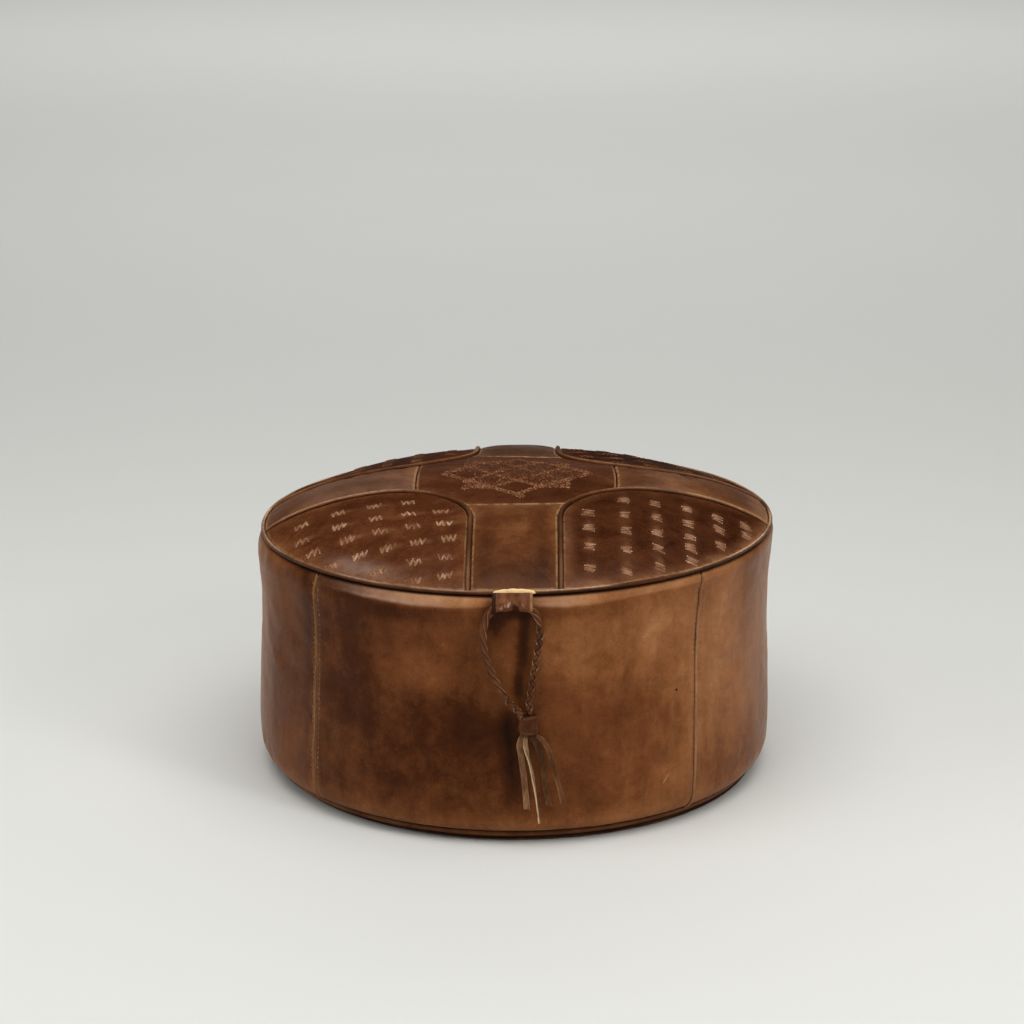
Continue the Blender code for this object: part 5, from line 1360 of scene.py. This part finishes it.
def motif(cx, cy, along, across, turn):
    """A small zigzag of doubled strokes with a knot at each turn."""
    out = []
    n = 6 if rng.random() < 0.6 else 5
    slope = abs(dome(np.array(cx), np.array(cy + 0.002)) - dome(np.array(cx), np.array(cy - 0.002))) / 0.004
    if turn % 2:
        w, h = 0.0142 * (0.92 + 0.16 * rng.random()), min(0.0128, 0.0068 / (0.29 + 0.95 * slope)) * (0.9 + 0.2 * rng.random())
    else:
        w, h = min(0.0150, 0.0060 / (0.29 + 0.95 * slope)) * (0.9 + 0.2 * rng.random()), 0.0112 * (0.92 + 0.2 * rng.random())
    spot = np.array((cx, cy))
    turns = [((i / n - 0.5) * w + 0.0003 * rng.standard_normal(), (-0.5 + 0.14 * rng.random() if i % 2 else 0.5 - 0.16 * rng.random()) * h) for i in range(n + 1)]
    for (x0, y0), (x1, y1) in zip(turns[:-1], turns[1:]):
        for dbl in (-0.00045, 0.00045):
            if rng.random() < 0.92:
                out.append((*(spot + across * (x0 + dbl) + along * y0), *(spot + across * (x1 + dbl) + along * y1), 0.02 + 0.15 * rng.standard_normal()))
    for x0, y0 in turns:
        if rng.random() < 0.7:
            a = spot + across * x0 + along * y0
            out.append((*(a - across * 0.0009), *(a + across * 0.0009), 0.20 + 0.12 * rng.standard_normal()))
    return out


for k, nm in enumerate(NAMES):
    base = np.array([(1.0, 0.0), (0.0, 1.0)]) if k % 2 == 0 else np.array([(0.0, 1.0), (1.0, 0.0)])
    along, across = (rot90(base, k) if k % 2 == 0 else rot90(base, k - 3))
    segs = []
    for cx, cy in motif_spots(k):
        segs += [(*g[:4], g[4] - (0.0 if k in (0, 3) else 0.20)) for g in motif(cx, cy, along, across, k)]
    sew("stitched_motifs_" + nm, TOP_TREES["petal_" + nm], segs, 0.00080, "thread" if k in (0, 3) else "star_thread")


def band(p, q, width, pitch, slant, gaps=0.08, tone=0.0):
    """A line drawn with short slanting stitches."""
    p, q = np.array(p, float), np.array(q, float)
    L = np.linalg.norm(q - p)
    d = (q - p) / L
    s = np.array((-d[1], d[0]))
    out = []
    for i in range(int(L / pitch) + 1):
        if rng.random() < gaps:
            continue
        c = p + d * (i * pitch + 0.0005 * rng.standard_normal()) + s * 0.0005 * rng.standard_normal()
        v = (s * math.cos(slant) + d * math.sin(slant)) * width / 2 * (0.8 + 0.35 * rng.random())
        a, b = c - v, c + v
        out.append((*a, *b, tone + 0.15 * rng.standard_normal()))
    return out


def beads(p, q, width, pitch, skip=0.10, tone=0.0):
    """A line built up from short knotted stitches, two or three abreast."""
    p, q = np.array(p, float), np.array(q, float)
    L = np.linalg.norm(q - p)
    d = (q - p) / L
    s = np.array((-d[1], d[0]))
    rows = 3 if width > 0.0055 else 2
    out = []
    for i in range(int(L / pitch) + 1):
        for r in range(rows):
            if rng.random() < skip:
                continue
            c = p + d * (i * pitch + 0.0006 * rng.standard_normal()) + s * ((r - (rows - 1) / 2) * width / rows + 0.0004 * rng.standard_normal())
            a = (0.8 if (i + r) % 2 else -0.8) + 0.35 * rng.standard_normal()
            v = (d * math.cos(a) + s * math.sin(a)) * (0.0011 + 0.0004 * rng.random())
            out.append((*(c - v), *(c + v), tone + 0.16 * rng.standard_normal()))
    return out


def star():
    """Eight-pointed star: a diamond of nine cells whose sides carry the corners of a square."""
    H, Q = 0.0750, 0.0525
    segs = []
    tips = [(0, -H), (H, 0), (0, H), (-H, 0)]
    for i in range(4):
        segs += beads(tips[i], tips[(i + 1) % 4], 0.0084, 0.0023, 0.08, 0.26)
    segs += beads((0.0, -H), (0.0080, -H - 0.0080), 0.0080, 0.0023, 0.0, 0.24)
    for i in (1, 2):
        f = i / 3
        for a, b, c, d in ((tips[0], tips[1], tips[3], tips[2]), (tips[0], tips[3], tips[1], tips[2])):
            p = np.array(a) + (np.array(b) - np.array(a)) * f
            q = np.array(c) + (np.array(d) - np.array(c)) * f
            segs += beads(p, q, 0.0066, 0.0024, 0.16, 0.14)
    # cells: dense in the middle and at the sides, sparse towards the left and right tips, bare at the front tip
    for i in (-1, 0, 1):
        for j in (-1, 0, 1):
            c = np.array((i + j, i - j)) * H / 3.0
            skip = 0.16
            if abs(i) + abs(j) == 2:
                skip = {(0, -2): 1.0, (-2, 0): 0.62, (2, 0): 0.45, (0, 2): 0.40}[(i + j, i - j)]
            if skip >= 1.0:
                continue
            for m in range(-5, 6):
                half = 0.0205 - abs(m) * 0.0038
                if half > 0.002:
                    segs += beads(c + (-half, m * 0.0038), c + (half, m * 0.0038), 0.0030, 0.0031, 0.5 + skip / 2, -0.02)
    # corners of the square, standing out beyond the diamond's sides
    for k in range(4):
        for m in range(4):
            o = m * 0.0050
            start = 0.026 + o * 0.55
            for a, b in (((Q - o, -start), (Q - o, -Q + o)), ((Q - o, -Q + o), (start, -Q + o))):
                segs += beads(rot90(a, k), rot90(b, k), 0.0048, 0.0024, 0.14 + 0.08 * m, 0.16 - 0.04 * m)
    return [(ax, ay - 0.002, bx, by - 0.002, tone - 0.20 * smooth((ay + 0.045) / 0.10)) for ax, ay, bx, by, tone in segs]


sew("stitched_star", TOP_TREES["centre_panel"], star(), 0.00098, "star_thread")


def wall_rows():
    A, B, U, P = [], [], [], []
    for k in range(4):
        for sgn in (-1, 1):
            tree = WALL_TREES[k if sgn < 0 else (k + 1) % 4]
            zs = np.arange(0.0185, 0.2440, 0.0052)
            for i, z in enumerate(zs):
                pts = []
                for dz in (-0.0017, 0.0017):
                    d = math.radians(seam_deg(k, z + dz)) + sgn * (0.0046 + 0.0002 * rng.standard_normal()) / R
                    ray = Vector((-math.sin(d), math.cos(d), 0))
                    hit = tree.ray_cast(Vector((math.sin(d) * 0.4, -math.cos(d) * 0.4, z + dz + 0.0165 * math.sin(d) * R * float(smooth((z - 0.02) / 0.22)))), ray)
                    if hit[0] is not None:
                        pts.append(np.array(hit[0]))
                if len(pts) == 2:
                    A.append(pts[0]); B.append(pts[1]); U.append((math.sin(d), -math.cos(d), 0))
                    P.append(0.12 * rng.standard_normal())
    stitches("wall_seam_stitches", A, B, U, 0.00042, "seam_thread", np.array(P))


wall_rows()


def wall_seam(k):
    """Corded ridge of one upright seam."""
    z = np.linspace(0.0125, 0.2500, 190)
    d = seam_deg(k, z) + 0.02 * np.sin(z * 60 + k)
    r = wall_r(z) + 0.0009 * smooth(np.minimum(0.2523 - z, z - 0.0119) / 0.05) - (0.0011 if k == 3 else 0.0003) + 0.0002 * np.sin(z * 110 + 2 * k)
    path = pol(r, d, z)
    nm = NAMES[k]
    a = math.radians(SEAM_DEG + 90 * k)
    piping("cover_seam_" + nm, path, SEAM_PIPE, "wall_seam_" + nm, False, 300 + k, 0.12, first=(math.sin(a), -math.cos(a), 0), sides=12, crest_wear_and_highlight=np.repeat(0.45 * (1 - 0.9 * smooth((path[:, 2] - 0.195) / 0.025)), 12) if k == 3 else 1.0, crest=1.1)


for k in range(4):
    wall_seam(k)


# ------------------------------------------------------------------ filling (inside the cover)
def lathe(name, prof, seg, finish, node, wobble=0.0, freq=20.0, seed=0):
    prof = np.asarray(prof, float)
    n = len(prof) - 2
    deg = np.arange(seg) * 360.0 / seg
    v = np.stack([pol(np.full(seg, r), deg, np.full(seg, z)) for r, z in prof[1:-1]], 1).reshape(-1, 3)
    if wobble:
        v = v - unit(v * (1, 1, 0) + 1e-9) * (wobble * (0.5 + 0.5 * fbm(v, freq, seed, 2)))[:, None]
    v = np.concatenate([v, [(0, 0, prof[0, 1]), (0, 0, prof[-1, 1])]])
    top, low = len(v) - 2, len(v) - 1
    f = [quads(seg, n, True, False)]
    f += [(top, i * n, ((i + 1) % seg) * n) for i in range(seg)]
    f += [(low, ((i + 1) % seg) * n + n - 1, i * n + n - 1) for i in range(seg)]
    ob = outward(make(name, lean(v), f, finish))
    return keep(ob, "pouf", [node])


def cloth_finish(name, stops, scale, rough):
    t = Tree(name, Specular_IOR_Level=0.2, Sheen_Weight=0.2)
    warp, weft = t.wave(scale, None, "X", 0.6), t.wave(scale, None, "Z", 0.6)
    n = t.noise(40.0, 3.0, 0.6)
    f = t.add(t.mul(t.math("MAXIMUM", warp, weft), 0.4), t.mul(n, 0.6))
    return t.set(Base_Color=t.ramp(f, stops), Roughness=t.step(n, 0.3, 0.7, rough - 0.06, rough + 0.06),
                 Normal=t.bump(t.add(warp, weft), 0.5, 0.0003))


def foam_finish(name, stops, scale):
    t = Tree(name, Specular_IOR_Level=0.2)
    n = t.noise(scale, 4.0, 0.65, 0.3)
    cell = t.cells(scale * 3, "F1")
    return t.set(Base_Color=t.ramp(t.add(t.mul(n, 0.7), t.mul(cell, 0.4)), stops), Roughness=t.step(n, 0.3, 0.7, 0.88, 0.98),
                 Normal=t.bump(t.add(n, cell), 0.8, 0.001))


M["liner"] = cloth_finish("liner_cotton", [(0.2, (0.46, 0.40, 0.31)), (0.8, (0.66, 0.60, 0.50))], 900.0, 0.9)
M["foam"] = foam_finish("filling_foam", [(0.2, (0.62, 0.53, 0.36)), (0.8, (0.80, 0.73, 0.56))], 180.0)
M["wad"] = foam_finish("filling_wadding", [(0.2, (0.66, 0.64, 0.58)), (0.8, (0.84, 0.82, 0.77))], 60.0)

LINER_DROP, LINER_GAP, LINER_T, CORE_TOP = 0.0062, 0.0034, 0.0008, 0.2000


def crown_line(drop, r_max, n):
    """From the middle outwards, under the lowest part of the top."""
    r = np.linspace(0, r_max, n)
    return [(a, float(dome(0.0, a)) - drop) for a in r]


def build_liner():
    """Cotton bag under the cover, open along the zip."""
    def line(extra):
        g, d = LINER_GAP + extra, LINER_DROP + extra
        p = crown_line(d, 0.2470 - extra, 22)
        p += [(float(wall_r(z)) - WALL_T - g, z) for z in (0.2420, 0.2300, 0.2100, 0.1800, 0.1500, 0.1200, 0.0900, 0.0650, 0.0450, 0.0320)]
        p += [(0.2510 - extra, 0.0210), (0.2370 - extra, 0.0128), (0.2300 - extra, 0.0066 + extra)]
        return p
    seg = 120
    deg = np.arange(seg) * 360.0 / seg
    a = np.radians(deg)
    slot = np.stack([np.clip(np.sin(a) * 1.6, -1, 1) * 0.180, -np.clip(np.cos(a) * 1.9, -1, 1) * 0.019], 1)
    cols = []
    for extra in (0.0, LINER_T):
        p = line(extra)
        col = [pol(np.full(seg, max(r, 1e-5)), deg, np.full(seg, z)) for r, z in p]
        last = col[-1]
        for t in (0.25, 0.5, 0.75, 1.0):
            q = last.copy()
            q[:, :2] = last[:, :2] * (1 - t) + slot * t
            col.append(q)
        cols.append(np.stack(col, 1))
    n = cols[0].shape[1]
    v = np.concatenate([c.reshape(-1, 3) for c in cols])
    flat = unit(v * (1, 1, 0) + 1e-9)
    wr = fbm(v * (1, 1, 0.6), 22, 500, 3)
    body = smooth((v[:, 2] - 0.015) / 0.02)
    v = v - flat * (0.0004 * (1 + wr) * body)[:, None]
    v[:, 2] -= 0.0003 * (1 + wr) * body * smooth((v[:, 2] - 0.245) / 0.01)
    m = seg * n
    f = [quads(seg, n, True, False), quads(seg, n, True, False, m, True)]
    f.append(np.array([(i * n + n - 1, ((i + 1) % seg) * n + n - 1, m + ((i + 1) % seg) * n + n - 1, m + i * n + n - 1) for i in range(seg)]))
    # close the two small holes at the crown
    f += [tuple(i * n for i in range(seg)), tuple(m + i * n for i in range(seg))[::-1]]
    ob = outward(make("bag_liner", lean(v), f, M["liner"]))
    keep(ob, "pouf", ["liner_bag"])


build_liner()
g = LINER_GAP + LINER_T + 0.0016
core = [(0.0, CORE_TOP - 0.001), (0.06, CORE_TOP - 0.001), (0.12, CORE_TOP - 0.001), (0.18, CORE_TOP - 0.001), (0.225, CORE_TOP - 0.001), (float(wall_r(0.19)) - WALL_T - g - 0.004, CORE_TOP - 0.002)]
core += [(float(wall_r(z)) - WALL_T - g, z) for z in (0.1900, 0.1700, 0.1500, 0.1300, 0.1100, 0.0900, 0.0700, 0.0450, 0.0330)]
core += [(0.2470, 0.0240), (0.2320, 0.0150), (0.2270, 0.0104), (0.15, 0.0100), (0.06, 0.0100), (0.0, 0.0100)]
lathe("bag_foam", core, 96, M["foam"], "foam_core", 0.0009, 30.0, 520)
pad = crown_line(LINER_DROP + LINER_T + 0.0016, 0.2440, 20)
pad += [(float(wall_r(z)) - WALL_T - g, z) for z in (0.2380, 0.2250, 0.2120)]
pad += [(float(wall_r(CORE_TOP)) - WALL_T - g - 0.003, CORE_TOP + 0.0012), (0.18, CORE_TOP + 0.0008), (0.09, CORE_TOP + 0.0008), (0.0, CORE_TOP + 0.0008)]
lathe("bag_wadding", pad, 96, M["wad"], "crown_wadding", 0.0012, 34.0, 540)


# ------------------------------------------------------------------ underside
def slab(name, outline, z_low, z_high, groove, node, seed, step=0.0035):
    """A cut leather piece of the sole with rounded edges and a stitching groove underneath."""
    o = joined([np.vstack([outline, outline[:1]])], step)
    n = len(o)
    c = o.mean(0)
    reach = np.linalg.norm(o - c, axis=1).mean()
    cuts = [1.0] + [1 - 0.0045 * i ** 1.0 for i in range(1, 16)]
    rest = max(3, int(cuts[-1] * reach / 0.011))
    cuts += [cuts[-1] * (1 - i / rest) for i in range(1, rest)]
    xy = np.concatenate([c + (o - c) * s for s in cuts] + [c[None]])
    m = len(cuts)
    d = to_outline(xy, o)
    d[:n] = 0
    p3 = np.c_[xy, 0 * d]
    low = z_low + 0.0014 * np.exp(-d / 0.0009) + 0.00012 * (1 + fbm(p3, 45, seed, 2))
    if groove:
        low = low + 0.0010 * np.exp(-((d - groove) / 0.0011) ** 2)
    high = z_high - 0.0008 * np.exp(-d / 0.0008)
    v = np.concatenate([np.c_[xy, low], np.c_[xy, high]])
    f0 = quads(m, n, False, True)
    f1 = np.array([((m - 1) * n + j, (m - 1) * n + (j + 1) % n, m * n) for j in range(n)])
    k = len(xy)
    side = np.stack([np.arange(n), (np.arange(n) + 1) % n, (np.arange(n) + 1) % n + k, np.arange(n) + k], 1)
    ob = outward(make(name, v, [f0, f1, f0[:, ::-1] + k, f1[:, ::-1] + k, side], M["sole"],
                      {"edge": np.r_[d * 1000 + 0.5, d * 0 + 30], "pat": np.r_[0.06 * fbm(p3, 18, seed + 3, 2), d * 0],
                       "wear_and_highlight": np.r_[0.25 * np.clip(fbm(p3, 30, seed + 4, 3), 0, 1), d * 0]}))
    keep(ob, "pouf", [node])
    return BVHTree.FromPolygons([tuple(q) for q in v[:k]], [tuple(q) for q in f0.tolist()] + [tuple(q) for q in f1.tolist()])


def build_sole():
    A, B, U = [], [], []

    def row(tree, line, pitch=0.0062, long=0.0042):
        p = even(line, pitch)
        t = unit(np.gradient(p, axis=0))
        for i in range(1, len(p) - 1):
            ends = []
            for s in (-0.5, 0.5):
                q = p[i] + t[i] * long * s
                hit = tree.ray_cast(Vector((q[0], q[1], -0.1)), Vector((0, 0, 1)))
                if hit[0] is not None:
                    ends.append(np.array(hit[0]))
            if len(ends) == 2:
                A.append(ends[0]); B.append(ends[1]); U.append((0, 0, -1))
    for nm, sign in (("front", -1), ("rear", 1)):
        a = math.asin(SOLE_SLOT / SOLE_R)
        ang = np.linspace(a, math.pi - a, 240)
        rim = np.stack([SOLE_R * np.cos(ang), sign * SOLE_R * np.sin(ang)], 1)
        tree = slab("sole_half_" + nm, rim, 0.0002, SOLE_T, 0.0060, "sole_" + nm, 600 + sign)
        row(tree, np.stack([(SOLE_R - 0.006) * np.cos(ang[8:-8]), sign * (SOLE_R - 0.006) * np.sin(ang[8:-8])], 1))
        y = sign * (SOLE_SLOT + 0.006)
        row(tree, np.array([(-0.226, y), (0.226, y)]))
    for nm, sign in (("right", 1), ("left", -1)):
        w = SOLE_SLOT - 0.0006
        y = np.linspace(-w, w, 9)
        out = np.concatenate([[(sign * (ZIP_HALF + 0.0006), -w)], np.stack([sign * np.sqrt(SOLE_R ** 2 - y ** 2), y], 1), [(sign * (ZIP_HALF + 0.0006), w)]])
        slab("zip_patch_" + nm, out, 0.0004, SOLE_T, 0.0, "zip_end_" + nm, 640 + sign, 0.0016)
    stitches("sole_stitches", A, B, U, 0.00045, "seam_thread", 0.15 * rng.standard_normal(len(A)) - 0.15)


build_sole()


# ------------------------------------------------------------------ zip
def woven(name, stops):
    t = Tree(name, Specular_IOR_Level=0.2, Sheen_Weight=0.1)
    rib, cross = t.wave(700.0, None, "Y", 0.2), t.wave(900.0, None, "X", 0.2)
    n = t.noise(90.0, 3.0, 0.6)
    f = t.add(t.mul(rib, 0.35), t.mul(cross, 0.25), t.mul(n, 0.5))
    return t.set(Base_Color=t.ramp(f, stops), Roughness=t.step(n, 0.3, 0.7, 0.80, 0.92), Normal=t.bump(t.add(rib, cross), 0.6, 0.0002))


def brass(name, rough):
    t = Tree(name, Metallic=1.0)
    n = t.noise(240.0, 4.0, 0.65, 0.4)
    big = t.noise(60.0, 2.0, 0.5)
    scr = t.noise(900.0, 2.0, 0.6, 0.0, t.stretch(1.0, 6.0, 6.0))
    col = t.ramp(t.add(t.mul(n, 0.6), t.mul(big, 0.5)), [(0.25, (0.31, 0.200, 0.078)), (0.55, (0.45, 0.30, 0.115)), (0.85, (0.57, 0.41, 0.185))])
    return t.set(Base_Color=col, Roughness=t.add(t.step(n, 0.3, 0.7, rough, rough + 0.22), t.mul(scr, 0.08)), Normal=t.bump(t.add(scr, n), 0.25, 0.0001))


M["tape"] = woven("zip_tape", [(0.2, (0.020, 0.011, 0.007)), (0.8, (0.085, 0.050, 0.032))])
M["brass"] = brass("zip_brass", 0.26)


def build_zip():
    for nm, sign in (("front", -1), ("rear", 1)):
        # tape with a corded inner edge
        sec = [(0.0037, 0.0054), (0.0046, 0.0053), (0.0054, 0.0057), (0.0090, 0.0057), (0.0146, 0.0057), (0.0150, 0.0060),
               (0.0146, 0.0063), (0.0090, 0.0063), (0.0054, 0.0063), (0.0046, 0.0067), (0.0037, 0.0066), (0.0034, 0.0060)]
        xs = np.linspace(-0.172, 0.172, 173)
        v = np.array([[(x, sign * (y + 0.00008 * math.sin(x * 900)), z + 0.00010 * math.sin(x * 260 + y * 900) * (y > 0.006)) for y, z in sec] for x in xs])
        k = len(sec)
        ob = make("zip_side_" + nm, v.reshape(-1, 3), [quads(len(xs), k, False, True), tuple(range(k)), tuple((len(xs) - 1) * k + i for i in range(k))], M["tape"])
        keep(outward(ob), "pouf", ["zip_tape_" + nm])
        # separate pressed teeth, half a pitch apart on the two sides
        tooth_y = np.array([0.00098, 0.0014, 0.0021, 0.0026, 0.00335])
        tooth_x = np.array([0.00042, 0.00062, 0.00046, 0.00066, 0.00066])
        tooth_z = np.array([0.00070, 0.00100, 0.00092, 0.00108, 0.00108])
        verts, faces = [], []
        pitch = 0.0025
        first = -0.1565 + (pitch / 2 if sign > 0 else 0)
        for i in range(126):
            cx = first + i * pitch
            if cx > 0.1575:
                break
            b = len(verts)
            for y, hx, hz in zip(tooth_y, tooth_x, tooth_z):
                for ax, az in ((-1, -0.7), (-0.7, -1), (0.7, -1), (1, -0.7), (1, 0.7), (0.7, 1), (-0.7, 1), (-1, 0.7)):
                    verts.append((cx + ax * hx, sign * y, 0.0060 + az * hz))
            for r in range(4):
                for j in range(8):
                    q = (j + 1) % 8
                    faces.append((b + r * 8 + j, b + r * 8 + q, b + r * 8 + 8 + q, b + r * 8 + 8 + j))
            faces += [tuple(b + j for j in range(8))[::-1], tuple(b + 32 + j for j in range(8))]
        ob = make("zip_row_" + nm, verts, faces, M["brass"], sharp=True)
        keep(outward(ob), "pouf", ["zip_teeth_" + nm])
    for nm in ("zip_stop_left", "zip_stop_right", "zip_slider", "zip_pull"):
        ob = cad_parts[nm]
        ob.data.materials.clear()
        ob.data.materials.append(M["brass"])
        mod = ob.modifiers.new("rounded edges", "BEVEL")
        mod.width = 0.00018
        mod.segments = 2
        mod.limit_method = "ANGLE"


build_zip()

{"cad": [[float(c) for c in p] for p in CAD_BOX], "visual": [[float(c) for c in p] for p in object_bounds()]}
